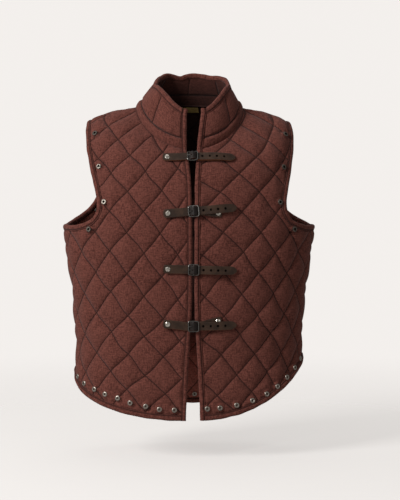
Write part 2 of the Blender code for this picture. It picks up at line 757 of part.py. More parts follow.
def make_billet(closure, collection, cutters):
    """Long strap, riveted to the wearer's right front, with its holes and its pointed end."""
    widths = end_widths(BILLET_ROUTE, STRAP_WIDTH / 2, 0.0030, 0.0105, 1.7)
    name = "billet_" + closure[0]
    strap = ribbon(name, closure, BILLET_ROUTE, closure_point, widths, BILLET_THICK, collection)
    spots = []
    for along in BILLET_HOLES:
        point, out = closure_point(closure, along, 0.0050)
        spots.append((matrix_at(closure, point, out), HOLE_RADIUS, HOLE_RADIUS, HOLE_DEPTH))
    point, out = closure_point(closure, BILLET_SLOT_AT, 0.0060)
    spots.append((matrix_at(closure, point, out), *BILLET_SLOT))
    cut_holes(strap, hole_cutter(name + "_cutter", spots, cutters))


def make_chape(closure, collection, cutters):
    """Short strap, riveted to the wearer's left front, folded round the buckle's middle bar."""
    widths = end_widths(CHAPE_ROUTE, STRAP_WIDTH / 2, 0.0030, 0.0)
    name = "chape_" + closure[0]
    strap = ribbon(name, closure, CHAPE_ROUTE, chape_point, widths, CHAPE_THICK, collection)
    point, out = closure_point(closure, CHAPE_SLOT_AT, 0.0045)
    spots = [(matrix_at(closure, point, out), *CHAPE_SLOT)]
    cut_holes(strap, hole_cutter(name + "_cutter", spots, cutters))


def mesh_of_curve(name, points, radius, cyclic, resolution=2):
    """A round bar along points, as a closed mesh."""
    curve = bpy.data.curves.new(name, "CURVE")
    curve.dimensions = "3D"
    curve.bevel_depth = radius
    curve.bevel_resolution = resolution
    curve.use_fill_caps = not cyclic
    line = curve.splines.new("POLY")
    line.points.add(len(points) - 1)
    for spot, point in zip(line.points, points):
        spot.co = (*point, 1.0)
    line.use_cyclic_u = cyclic
    holder = bpy.data.objects.new(name, curve)
    bpy.context.scene.collection.objects.link(holder)
    bpy.context.view_layer.update()
    graph = bpy.context.evaluated_depsgraph_get()
    mesh = bpy.data.meshes.new_from_object(holder.evaluated_get(graph))
    bpy.data.objects.remove(holder, do_unlink=True)
    bpy.data.curves.remove(curve)
    bm = bmesh.new()
    bm.from_mesh(mesh)
    bmesh.ops.remove_doubles(bm, verts=bm.verts, dist=1e-6)
    bmesh.ops.recalc_face_normals(bm, faces=bm.faces)
    bm.to_mesh(mesh)
    bm.free()
    return mesh


CORNER_STEPS = 4


def buckle_height(along):
    """The frame bows so that its end bars lie over the leather: a curve through three bars."""
    left, right = LEFT_BAR_HEIGHT - MIDDLE_BAR_HEIGHT, RIGHT_BAR_HEIGHT - MIDDLE_BAR_HEIGHT
    share = along / BUCKLE_REACH
    return MIDDLE_BAR_HEIGHT + (right - left) / 2 * share + (right + left) / 2 * share**2


def buckle_mesh():
    """Oblong frame with a middle bar, in the strap's own axes."""
    corner = 0.0030
    reach, half = BUCKLE_REACH, BUCKLE_HALF_HEIGHT
    points = []
    for quarter, (cx, cy) in enumerate(((1, 1), (-1, 1), (-1, -1), (1, -1))):
        for step in range(CORNER_STEPS):
            turn = math.pi / 2 * (quarter + step / (CORNER_STEPS - 1))
            x = cx * (reach - corner) + corner * math.cos(turn)
            y = cy * (half - corner) + corner * math.sin(turn)
            points.append((x, y, buckle_height(x)))
        if quarter in (0, 2):
            side = 1 if quarter == 0 else -1
            rail = [x * side for x in (0.0035, 0.0, -0.0035)]
            points += [(x, half * side, buckle_height(x)) for x in rail]
    frame = mesh_of_curve("buckle_frame", points, BAR_RADIUS, True)
    ends = [(0, -half, MIDDLE_BAR_HEIGHT), (0, half, MIDDLE_BAR_HEIGHT)]
    bar = mesh_of_curve("buckle_bar", ends, BAR_RADIUS * 0.97, False)
    return frame, bar


def prong_mesh():
    """Pin that wraps the middle bar and rests on the end bar at its far side."""
    radius = BAR_RADIUS + PRONG_RADIUS + SEAM_GAP
    points = []
    for step in range(10):
        turn = math.radians(215 + (450 - 215) * step / 9)
        points.append((radius * math.cos(turn), 0, MIDDLE_BAR_HEIGHT + radius * math.sin(turn)))
    rest = LEFT_BAR_HEIGHT + BAR_RADIUS + PRONG_RADIUS + SEAM_GAP
    start = points[-1][2]
    for share in (0.35, 0.7, 1.0):
        points.append((-0.0112 * share, 0, start + (rest - start) * share))
    return mesh_of_curve("buckle_prong", points, PRONG_RADIUS, False)


def turned_mesh(name, profile, closed=False):
    """A profile of (radius, height) for a Screw modifier, outer side first, top to bottom."""
    bm = bmesh.new()
    verts = [bm.verts.new((radius, 0, height)) for radius, height in profile]
    pairs = list(zip(verts, verts[1:])) + ([(verts[-1], verts[0])] if closed else [])
    for a, b in pairs:
        bm.edges.new((a, b))
    mesh = bpy.data.meshes.new(name)
    bm.to_mesh(mesh)
    bm.free()
    return mesh


def add_turned(name, mesh, kind, matrix, collection, steps=16):
    obj = bpy.data.objects.new(name, mesh)
    if not mesh.materials:
        mesh.materials.append(material_for(mesh.name, kind))
    obj.matrix_world = matrix
    screw = obj.modifiers.new("turn", "SCREW")
    screw.steps = steps
    screw.render_steps = steps
    screw.use_merge_vertices = True
    screw.merge_threshold = 1e-5
    screw.use_smooth_shade = False
    collection.objects.link(obj)
    return obj


def spot_along(line, distance):
    """Place at a length along a line of places."""
    done = 0.0
    for a, b in zip(line, line[1:]):
        step = (surface(BODY_SECTIONS, *b) - surface(BODY_SECTIONS, *a)).length
        if done + step >= distance:
            share = (distance - done) / step
            return a[0] + (b[0] - a[0]) * share, a[1] + (b[1] - a[1]) * share
        done += step
    return line[-1]


def make_closures(collection, cutters):
    frame, bar = buckle_mesh()
    bar_cutter = bpy.data.objects.new("buckle_bar_joined", bar)
    bar_cutter.hide_render = True
    bar_cutter.display_type = "WIRE"
    cutters.objects.link(bar_cutter)
    joined = bpy.data.objects.new("buckle_frame_whole", frame)
    bpy.context.scene.collection.objects.link(joined)
    union = joined.modifiers.new("bar", "BOOLEAN")
    union.operation = "UNION"
    union.solver = "EXACT"
    union.object = bar_cutter
    bpy.context.view_layer.update()
    graph = bpy.context.evaluated_depsgraph_get()
    whole = bpy.data.meshes.new_from_object(joined.evaluated_get(graph))
    bpy.data.objects.remove(joined, do_unlink=True)
    bpy.data.objects.remove(bar_cutter, do_unlink=True)
    prong = prong_mesh()
    radius, height = RIVET_RADIUS, RIVET_HEIGHT
    dome = (
        (0.0, height), (0.46 * radius, 0.93 * height), (0.78 * radius, 0.66 * height),
        (0.95 * radius, 0.27 * height), (radius, 0.0), (0.0, 0.0),
    )
    rivet = turned_mesh("rivet_cap", dome)
    for closure in CLOSURES:
        name, level = closure[0], closure[1]
        make_billet(closure, collection, cutters)
        make_chape(closure, collection, cutters)
        point, _, _, out = frame_at(0.0, level)
        here = matrix_at(closure, point, out)
        for part, mesh in (("buckle_", whole), ("prong_", prong)):
            obj = add_mesh(part + name, mesh.copy(), "gunmetal", collection)
            obj.matrix_world = here
        for part, along, lift, point_of in (
            ("billet_rivet_", BILLET_RIVET, 0.0034, closure_point),
            ("chape_rivet_", CHAPE_RIVET, 0.0031, chape_point),
        ):
            point, out = point_of(closure, along, lift)
            add_turned(part + name, rivet, "nickel", matrix_at(closure, point, out), collection)


def make_eyelets(collection):
    """Eyelets along both armholes, for the laces of arm pieces."""
    hole, radius, height = EYELET_HOLE, EYELET_RADIUS, EYELET_HEIGHT
    ring = ((hole, height), (radius - 0.0009, height), (radius, 0.4 * height), (radius, 0), (hole, 0))
    mesh = turned_mesh("eyelet_ring", ring, closed=True)
    for side, sign in (("left", 1), ("right", -1)):
        for face, eyelets in (("front", EYELETS_FRONT), ("back", EYELETS_BACK)):
            for number, (distance, inset) in enumerate(eyelets, start=1):
                line = list(reversed(armhole_inset(inset, face == "front")))
                place = spot_along(flip(line, sign), distance)
                out = outward(BODY_SECTIONS, *place)
                point = surface(BODY_SECTIONS, *place) + out * EYELET_LIFT
                turn = Vector((0, 0, 1)).rotation_difference(out).to_matrix().to_4x4()
                name = f"eyelet_{face}_{side}_{number}"
                add_turned(name, mesh, "nickel", Matrix.Translation(point) @ turn, collection)


def main():
    clear_scene()
    garment = new_collection("gambeson")
    cutters = new_collection("cutters")
    cutters.hide_render = True
    fronts = {sign: panel_grid(sign, True) for sign in (1, -1)}
    backs = {sign: panel_grid(sign, False) for sign in (1, -1)}
    collar = collar_grid(fronts[1], backs[1])
    make_panels(garment, fronts, backs)
    make_collar(garment, collar)
    make_bindings(garment, fronts, backs, collar)
    make_label(garment)
    make_closures(garment, cutters)
    make_eyelets(garment)


main()
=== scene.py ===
import json
import math

import bmesh
import bpy
import numpy as np
from bpy.props import FloatProperty, FloatVectorProperty
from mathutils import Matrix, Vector


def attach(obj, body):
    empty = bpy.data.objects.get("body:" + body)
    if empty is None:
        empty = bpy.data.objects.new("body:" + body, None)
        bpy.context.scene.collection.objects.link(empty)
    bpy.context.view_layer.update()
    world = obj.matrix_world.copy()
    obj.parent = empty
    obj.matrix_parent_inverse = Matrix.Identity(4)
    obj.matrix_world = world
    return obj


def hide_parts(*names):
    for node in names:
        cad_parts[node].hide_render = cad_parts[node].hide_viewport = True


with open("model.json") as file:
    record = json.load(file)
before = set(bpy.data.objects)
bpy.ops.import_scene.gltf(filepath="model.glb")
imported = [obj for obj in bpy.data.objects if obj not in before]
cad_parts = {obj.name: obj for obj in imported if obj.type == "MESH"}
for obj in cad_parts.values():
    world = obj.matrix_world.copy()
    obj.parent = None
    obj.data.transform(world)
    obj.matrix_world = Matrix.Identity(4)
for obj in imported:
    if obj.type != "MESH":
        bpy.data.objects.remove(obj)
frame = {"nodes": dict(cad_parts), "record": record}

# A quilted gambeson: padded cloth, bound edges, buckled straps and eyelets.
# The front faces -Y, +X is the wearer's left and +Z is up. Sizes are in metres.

bl_info = {
    "name": "Quilted gambeson",
    "version": (1, 0, 0),
    "blender": (4, 5, 0),
    "location": "3D View > Sidebar > Gambeson",
    "description": "Builds the padded cloth, bindings, straps and metal of a gambeson",
    "category": "Add Mesh",
}


# ---- sizes ----
WALL = 0.0080
LEAST_WALL = 0.0016  # at the crossings of the quilting
COLLAR_WALL = 0.0070
SEAM_GAP = 0.0003
BUCKLE_HALF, BUCKLE_SHADE = 0.0085, 0.004  # half width inside a buckle, and where its painted shade ends
BINDING_WIDTH = 0.0110
CLEAR = BINDING_WIDTH + SEAM_GAP
NORMAL_STEP = 0.04
# How far a wall runs on under a binding, into a seam, down at the collar's foot, and a binding at
# its ends, so that no slit shows.
EDGE_REACH, SEAM_REACH, FOOT_REACH, END_REACH = 0.0014, 0.0002, 0.0006, 0.0004
MOST_SINK = 0.0004  # how far the lining may stand off the wall's plain inner face
MOST_RISE = 0.0009  # how far the puffs may stand off its plain outer face

# Each section of the body: side (x, y, z), front (y, z), back (y, z), roundness of the ring,
# how its height runs to the front and to the back, and a shift to the wearer's left.
BODY_SECTIONS = np.array((
    (0.240, 0.000, -0.534, -0.128, -0.634, 0.124, -0.630, 2.3, 1.8, 1.8, 0.0),  # hem
    (0.236, 0.000, -0.480, -0.124, -0.520, 0.115, -0.515, 2.3, 1.6, 1.6, 0.0),  # waist
    (0.245, 0.000, -0.375, -0.131, -0.400, 0.124, -0.395, 2.3, 1.5, 1.5, 0.0),  # ribs
    (0.257, 0.000, -0.290, -0.136, -0.305, 0.130, -0.300, 2.3, 1.4, 1.4, 0.0),  # chest
    (0.2615, 0.000, -0.243, -0.136, -0.252, 0.130, -0.246, 2.3, 1.4, 1.4, 0.0),  # underarm
    (0.249, 0.000, -0.180, -0.133, -0.208, 0.129, -0.190, 2.3, 1.4, 1.4, 0.0),  # blade
    (0.232, 0.000, -0.103, -0.126, -0.168, 0.123, -0.128, 2.3, 1.4, 1.4, 0.0),  # upper arm
    (0.212, 0.000, -0.031, -0.117, -0.136, 0.111, -0.064, 2.2, 1.4, 1.4, 0.0),  # shoulder tip
    (0.165, -0.002, -0.007, -0.105, -0.110, 0.092, -0.022, 2.1, 1.3, 1.3, 0.0),  # shoulder
    (0.114, -0.006, 0.003, -0.090, -0.089, 0.070, 0.014, 2.0, 1.2, 1.2, 0.0),  # neck
))
COLLAR_SECTIONS = np.array((
    BODY_SECTIONS[-1],  # neck
    (0.096, -0.008, 0.027, -0.088, -0.050, 0.065, 0.048, 2.1, 1.7, 1.0, 0.002),  # middle
    (0.075, -0.010, 0.050, -0.080, -0.012, 0.057, 0.080, 2.2, 2.4, 0.6, 0.006),  # rim
))
# Soft bends in the back of the rim: place across, spread and rise.
RIM_BENDS = ((-0.046, 0.011, 0.005), (-0.016, 0.013, -0.008), (0.048, 0.014, -0.003))
UNDERARM_K, TIP_K, NECK_K = 4, 7, 9
HEM_RISES = {-1: (0.055, 0.031), 1: (0.115, 0.000)}  # even and corner rise on each side
ARMHOLE_FRONT = (math.radians(26.5), 0.50, 0.60)  # swing, lean, fullness
ARMHOLE_BACK = (math.radians(-25.0), 0.85, 0.70)
FRONT_GAP = np.array((  # height, half of the gap between the fronts
    (-0.634, 0.0134), (-0.580, 0.0112), (-0.493, 0.0070), (-0.450, 0.0028), (-0.370, 0.0015),
    (-0.300, 0.0015), (-0.215, 0.0019), (-0.150, 0.0034), (-0.120, 0.0060), (-0.097, 0.0095),
    (-0.060, 0.0125), (-0.012, 0.0155),
))
FRONT_COLUMNS, BACK_COLUMNS = 11, 22
SIDE_ROWS, ARMHOLE_ROWS, SHOULDER_ROWS, COLLAR_ROWS = 8, 15, 5, 5
# Fine steps to each coarse one: rows below, beside and above the armhole, and columns.
ROW_STEPS, COLUMN_STEPS = (16, 5, 7), 9
TIP = SIDE_ROWS + ARMHOLE_ROWS
UNDERARM_ROW = SIDE_ROWS * ROW_STEPS[0]
TIP_ROW = UNDERARM_ROW + ARMHOLE_ROWS * ROW_STEPS[1]
COLLAR_CLEAR, NECK_CLEAR, COLLAR_BASE = 0.0014, 0.0007, 0.0060


# Heights and distances from the middle between which the painted shade and painted light on the lining
# change.
LINING_HEIGHTS, LINING_RIM, LINING_SIDES = (-0.56, -0.43), (0.025, 0.075), (0.13, 0.19)


# ---- the garment's surface ----
def spline(table, at):
    """Catmull-Rom through evenly spaced rows of a table, read at an array of places."""
    table = np.asarray(table, float)
    at = np.asarray(at, float)
    last = len(table) - 1
    ends = np.concatenate([2 * table[:1] - table[1:2], table, 2 * table[-1:] - table[-2:-1]])
    low = np.clip(np.floor(at).astype(int), 0, last - 1)
    t = (at - low).reshape(at.shape + (1,) * (table.ndim - 1))
    before, start, end, after = (ends[low + step] for step in range(4))
    return (
        (2 * t**3 - 3 * t**2 + 1) * start
        + (t**3 - 2 * t**2 + t) * (end - before) / 2
        + (3 * t**2 - 2 * t**3) * end
        + (t**3 - t**2) * (after - start) / 2
    )


def hem_shift(at, reach, front, across):
    """How much the ring near the hem moves up from its plain height."""
    even_rise, corner_rise = (
        np.where(across > 0, HEM_RISES[1][i], HEM_RISES[-1][i]) for i in (0, 1)
    )
    side_z, front_z, back_z, power = (BODY_SECTIONS[0][i] for i in (2, 4, 6, 8))
    rise = even_rise + corner_rise
    wanted = np.where(
        front,
        front_z + even_rise * (1 - reach**2) + corner_rise * (1 - reach) ** 3,
        front_z + rise + (back_z - front_z - rise) * reach**power,
    )
    plain = side_z + (np.where(front, front_z, back_z) - side_z) * reach**power
    return (wanted - plain) * np.clip(1 - at, 0, None) ** 2


def rim_shift(at, x):
    """How much the back of the collar bends up or down, most at the rim."""
    bends = (rise * np.exp(-(((x - middle) / spread) ** 2)) for middle, spread, rise in RIM_BENDS)
    return sum(bends) * (np.clip(at, 0, None) / 2) ** 2


def surface(sections, angle, at):
    """Points of the outer face: angle 0 is centre front, +90 degrees the wearer's left side."""
    angle, at = np.broadcast_arrays(np.asarray(angle, float), np.asarray(at, float))
    row = np.moveaxis(spline(sections, at), -1, 0)
    side_x, side_y, side_z, front_y, front_z, back_y, back_z = row[:7]
    roundness, front_power, back_power, shift = row[7:]
    across, along = np.sin(angle), np.cos(angle)
    front = along > 0
    depth = np.where(front, side_y - front_y, back_y - side_y)
    middle_z = np.where(front, front_z, back_z)
    size = (np.abs(across) / side_x) ** roundness + (np.abs(along) / depth) ** roundness
    radius = size ** (-1 / roundness)
    reach = np.minimum(1.0, radius * np.abs(along) / depth)
    height = side_z + (middle_z - side_z) * reach ** np.where(front, front_power, back_power)
    if sections is BODY_SECTIONS:
        height = height + hem_shift(at, reach, front, across)
    else:
        height = height + np.where(front, 0.0, rim_shift(at, radius * across + shift))
    return np.stack([radius * across + shift, side_y - radius * along, height], -1)


def partials(sections, angle, at, step=1e-4):
    by_angle = surface(sections, angle + step, at) - surface(sections, angle - step, at)
    by_at = surface(sections, angle, at + step) - surface(sections, angle, at - step)
    return by_angle / (2 * step), by_at / (2 * step)


def unit(vectors):
    return vectors / np.linalg.norm(vectors, axis=-1, keepdims=True)


def outward(sections, angle, at):
    """Unit normals, taken over a wide step so that the two sides of a seam share them."""
    by_angle, by_at = partials(sections, angle, at, NORMAL_STEP)
    return unit(np.cross(by_angle, by_at))


def length_of(vector):
    return float(np.linalg.norm(vector))


def run_of(points):
    """Length along a line of points, from its first one."""
    return np.concatenate([[0], np.cumsum(np.linalg.norm(np.diff(points, axis=0), axis=1))])


def moved(sections, place, direction):
    """The place (angle, at) that lies about direction away, measured on the surface."""
    angle, at = place
    aim = surface(sections, angle, at) + direction
    for _ in range(2):
        by_angle, by_at = partials(sections, angle, at)
        rest = aim - surface(sections, angle, at)
        step, *_ = np.linalg.lstsq(np.stack([by_angle, by_at], -1), rest, rcond=None)
        angle, at = angle + step[0], at + step[1]
    return angle, at


def gap_angle(sections, at, more=0.0):
    """Angle of the front edge, moved `more` metres away from the middle."""
    row = spline(sections, at)
    half = np.interp(row[4], FRONT_GAP[:, 0], FRONT_GAP[:, 1]) + more
    return math.atan2(half, row[1] - row[3])


def even(places, count):
    """The same line on the body with `count` steps of even length."""
    places = np.asarray(places)
    points = surface(BODY_SECTIONS, places[:, 0], places[:, 1])
    lengths = run_of(points)
    wanted = np.linspace(0, lengths[-1], count + 1)
    return np.stack([np.interp(wanted, lengths, places[:, i]) for i in (0, 1)], -1)


def armhole_line(shape, steps=60):
    """Finished armhole edge of the front or back quarter, underarm to shoulder tip."""
    swing, lean, fullness = shape
    share = (1 - np.cos(np.pi * np.arange(steps + 1) / steps)) / 2
    turn = swing * np.clip(np.sin(np.pi * share**lean), 0, None) ** fullness
    return np.stack([np.pi / 2 - turn, UNDERARM_K + (TIP_K - UNDERARM_K) * share], -1)


def hem_place(angle, distance):
    """Place that lies `distance` above the finished hem."""
    by_angle, _ = partials(BODY_SECTIONS, angle, 0.0)
    up = unit(np.cross(outward(BODY_SECTIONS, angle, 0.0), by_angle))
    return moved(BODY_SECTIONS, (angle, 0.0), up * distance)


def side_angle(at, distance, toward_front=True):
    by_angle, _ = partials(BODY_SECTIONS, math.pi / 2, at)
    turn = distance / length_of(by_angle)
    return math.pi / 2 - turn if toward_front else math.pi / 2 + turn


def armhole_inset(distance, front=True):
    """Line inside the armhole edge, underarm to shoulder tip, its ends on the side line."""
    line = armhole_line(ARMHOLE_FRONT if front else ARMHOLE_BACK)
    points = surface(BODY_SECTIONS, line[:, 0], line[:, 1])
    padded = np.concatenate([points[:1], points, points[-1:]])
    inward = unit(np.cross(outward(BODY_SECTIONS, line[:, 0], line[:, 1]), padded[2:] - padded[:-2]))
    inward *= distance if front else -distance
    line = [moved(BODY_SECTIONS, place, way) for place, way in zip(line, inward)]
    ends = []
    for at, way in ((UNDERARM_K, -1), (TIP_K, 1)):
        _, by_at = partials(BODY_SECTIONS, math.pi / 2, at)
        end_at = at + way * distance / length_of(by_at)
        ends.append((side_angle(end_at, SEAM_GAP / 2, front), end_at))
    return [ends[0]] + [place for place in line if ends[0][1] < place[1] < ends[1][1]] + [ends[1]]


def panel_places(sign, front):
    """Places (angle, at) of one front or one half of the back, in rows from hem to neck, each
    running from the middle to the side or armhole. sign is +1 on the wearer's left."""
    columns = FRONT_COLUMNS if front else BACK_COLUMNS // 2
    armhole = even(armhole_inset(CLEAR, front), ARMHOLE_ROWS)
    underarm_at, tip_at = armhole[0][1], armhole[-1][1]
    _, by_at = partials(BODY_SECTIONS, math.pi / 2, NECK_K)
    neck_at = NECK_K - SEAM_GAP / 2 / length_of(by_at)
    share = np.arange(columns + 1) / columns

    def row_angles(at, side):
        middle = gap_angle(BODY_SECTIONS, at, CLEAR) if front else math.pi
        return middle + (side - middle) * share

    rows = []
    for index in range(SIDE_ROWS):
        up = index / SIDE_ROWS
        angles = row_angles(underarm_at * up, side_angle(underarm_at * up, SEAM_GAP / 2, front))
        low = np.array([hem_place(sign * angle, CLEAR)[1] for angle in angles])
        rows.append(np.stack([angles, low + (underarm_at - low) * up], -1))
    for side, at in armhole:
        rows.append(np.stack([row_angles(at, side), np.full(columns + 1, at)], -1))
    for index in range(1, SHOULDER_ROWS + 1):
        at = tip_at + (neck_at - tip_at) * index / SHOULDER_ROWS
        angles = row_angles(at, side_angle(at, SEAM_GAP / 2, front))
        rows.append(np.stack([angles, np.full(columns + 1, at)], -1))
    return np.array(rows)


def collar_places(front, back):
    """Places of the collar's left half. Its columns stand over the panels' neck points."""
    angles = np.concatenate([front[-1][:-1, 0], [math.pi / 2], back[-1][-2::-1, 0]])
    last = math.pi - SEAM_GAP / 2 / 0.06
    share = (angles - angles[0]) / (angles[-1] - angles[0])
    _, by_at = partials(COLLAR_SECTIONS, angles, 2.0)
    top = 2.0 - CLEAR / np.linalg.norm(by_at, axis=-1)
    rows = []
    for row in range(COLLAR_ROWS + 1):
        ats = top * row / COLLAR_ROWS
        start = np.array([gap_angle(COLLAR_SECTIONS, at, CLEAR + COLLAR_CLEAR) for at in ats])
        rows.append(np.stack([start + (last - start) * share, ats], -1))
    return np.array(rows)


def finer(places, rows, columns, breaks=()):
    """More rows and columns of places, smooth between the breaks, where an edge has a corner."""
    parts = []
    stops = [0, *breaks, len(places) - 1]
    for (low, high), count in zip(zip(stops, stops[1:]), rows):
        at = np.arange((high - low) * count + 1) / count
        part = spline(places[low : high + 1], at)
        parts.append(part if high == stops[-1] else part[:-1])
    fine = np.concatenate(parts)
    at = np.arange((fine.shape[1] - 1) * columns + 1) / columns
    return spline(fine.swapaxes(0, 1), at).swapaxes(0, 1)


# ---- relief ----
def ripple(points, size, seed):
    """Smooth irregular values of about -1 to 1, with waves about `size` long."""
    rng = np.random.default_rng(seed)
    total = np.zeros(points.shape[:-1])
    for _ in range(8):
        direction = unit(rng.normal(size=3))
        wave = size * rng.uniform(0.6, 1.5)
        total += np.sin(points @ direction * (2 * np.pi / wave) + rng.uniform(0, 2 * np.pi))
    return total / 3.2


def steps_along(points, axis):
    """Length run along an axis of a grid of points, from its first row or column."""
    steps = np.linalg.norm(np.diff(points, axis=axis), axis=-1)
    first = np.zeros_like(np.take(steps, [0], axis=axis))
    return np.cumsum(np.concatenate([first, steps], axis=axis), axis=axis)


def edge_distance(points):
    across, up = steps_along(points, 1), steps_along(points, 0)
    return np.minimum.reduce([across, across[:, -1:] - across, up, up[-1:] - up])


def distance_to(points, targets):
    return np.stack([
        np.linalg.norm(row[:, None] - targets[None], axis=-1).min(axis=1) for row in points
    ])


def panel_distances(points, two_sides):
    """Distance of each point from a panel's bound or short-seamed edges, and from its side seams."""
    under = UNDERARM_ROW + 1
    sides = [points[:, -1], points[:, 0]] if two_sides else [points[:, -1]]
    edges = [points[0], points[-1]] + [side[under:] for side in sides]
    if not two_sides:
        edges.append(points[:, 0])
    seams = [side[:under] for side in sides]
    return distance_to(points, np.concatenate(edges)), distance_to(points, np.concatenate(seams))


def reach_out(grid, reach):
    """Runs the grid's four edges on by `reach`, so that no slit shows beside a binding or a seam."""
    grid = grid.copy()
    for edge, near in ((0, 1), (-1, -2)):
        grid[edge] += unit(grid[edge] - grid[near]) * reach[edge][:, None]
        grid[:, edge] += unit(grid[:, edge] - grid[:, near]) * reach[:, edge][:, None]
    return grid


# Crossing lines of quilting as cubic surfaces of (length from the middle, height) in decimetres
# about (1.2, -3.3): constant, x, y, xx, xy, yy, xxx, xxy, xyy, yyy. A line runs at each whole value.
QUILT_FRONT = {
    -1: (
        (-0.060, 1.311, 1.175, -0.014, 0.056, -0.002, 0.096, -0.048, 0.001, 0.016),
        (-0.322, 1.516, -1.203, -0.039, -0.033, 0.008, 0.001, 0.003, -0.038, -0.008),
    ),
    1: (
        (-0.111, 1.436, 1.166, 0.144, -0.057, 0.025, -0.076, 0.015, -0.027, 0.011),
        (-0.366, 1.396, -1.220, 0.114, -0.085, 0.017, 0.037, 0.006, -0.018, -0.012),
    ),
}
QUILT_PER_METRE = 18.2  # lines crossed per metre, square to them
QUILT_SPREAD = 0.0098
STITCH = 0.0034  # length of a stitch and the gap after it
THREAD_EDGE, THREAD_CORE = 0.0007, 0.0004  # half width of the thread, faded and full


def quilt_front(sign, length, height, points):
    wobble = 0.03 * ripple(points, 0.06, 40 + sign), 0.03 * ripple(points, 0.06, 50 + sign)
    x, y = (length - 0.12) * 10, (height + 0.33) * 10
    a, b = np.clip(x, -1.2, 1.25), np.clip(y, -2.6, 3.2)
    powers = np.ones_like(a), a, b, a * a, a * b, b * b, a**3, a * a * b, a * b * b, b**3
    terms = np.stack(powers, -1)
    rise = (x - a) * 1.42, (y - b) * 1.22
    return (
        terms @ np.array(QUILT_FRONT[sign][0]) + rise[0] + rise[1] + wobble[0],
        terms @ np.array(QUILT_FRONT[sign][1]) + rise[0] - rise[1] + wobble[1],
    )


def fine_panel(places):
    return finer(places, ROW_STEPS, COLUMN_STEPS, (SIDE_ROWS, TIP))


def seam_lines(sign):
    """Heights up a side seam, and the two sets of quilting lines of the front there."""
    places = fine_panel(panel_places(sign, True)) * (sign, 1)
    points = surface(BODY_SECTIONS, places[..., 0], places[..., 1])[: UNDERARM_ROW + 1]
    u, v = quilt_front(sign, from_middle(points), points[..., 2], points)
    return points[:, -1, 2], u[:, -1], v[:, -1]


def quilt_back(length, height, points):
    """Quilting of the back, bent a little toward each side to meet the fronts' lines."""
    wobble = 0.05 * ripple(points, 0.30, 21)
    u = length * 13.9 + height * 12.3 + 0.5 + wobble
    v = length * 13.9 - height * 12.3 + 0.5 - wobble
    moves = [np.zeros_like(u), np.zeros_like(v)]
    for sign, column in ((1, 0), (-1, -1)):
        levels, front_u, front_v = seam_lines(sign)
        wanted = (front_u, front_v) if sign > 0 else (-front_v, -front_u)
        share = np.clip(-sign * length / np.abs(length[:, column][:, None]), 0, 1)
        share = share**2 * (3 - 2 * share)
        for move, target, lines in zip(moves, wanted, (u, v)):
            rows = slice(0, UNDERARM_ROW + 1)
            lag = target - np.interp(levels, height[rows, column], lines[rows, column])
            lag -= np.round(lag[len(lag) // 2])
            move += share * np.interp(height, levels, lag)
    return u + moves[0], v + moves[1]


def line_distance(value):
    return np.abs(value - np.round(value)) / QUILT_PER_METRE


def quilt_relief(u, v):
    """0 on the puffed cloth, up to 1 along the quilting lines."""
    near = [np.exp(-((line_distance(value) / QUILT_SPREAD) ** 1.15)) for value in (u, v)]
    return (near[0] ** 3 + near[1] ** 3) ** (1 / 3)


def puckers(u, v, points, seed):
    """Short gathers across the quilting lines, here and there."""
    total = 0
    for index, (line, along) in enumerate(((u, v), (v, u))):
        near = np.exp(-line_distance(line) / 0.0075)
        phase = along / QUILT_PER_METRE * 2 * np.pi / 0.0095
        wave = np.sin(phase + 2.4 * ripple(points, 0.05, seed + index))
        total = total + near * wave * np.clip(ripple(points, 0.09, seed + 5 + index), 0, 1.2)
    return total


# ---- meshes ----
def pieces_collection():
    name = "Gambeson"
    if name not in bpy.data.collections:
        bpy.context.scene.collection.children.link(bpy.data.collections.new(name))
    return bpy.data.collections[name]


def mesh_object(name, points, faces, maps, kinds, smooth_angle=50):
    """A mesh with its UV maps, given as one (u, v) for each corner of each face."""
    mesh = bpy.data.meshes.new(name)
    mesh.from_pydata(points.reshape(-1, 3).tolist(), [], faces)
    for map_name, values in maps.items():
        layer = mesh.uv_layers.new(name=map_name)
        layer.data.foreach_set("uv", np.asarray(values, np.float32).reshape(-1))
    mesh.polygons.foreach_set("use_smooth", np.ones(len(mesh.polygons), bool))
    mesh.set_sharp_from_angle(angle=math.radians(smooth_angle))
    mesh.validate()
    for kind in kinds:
        mesh.materials.append(bpy.data.materials[kind])
    obj = bpy.data.objects.new(name, mesh)
    pieces_collection().objects.link(obj)
    return obj


def quads(rows, columns):
    index = np.arange(rows * columns).reshape(rows, columns)
    return np.stack([index[:-1, :-1], index[:-1, 1:], index[1:, 1:], index[1:, :-1]], -1).reshape(-1, 4)


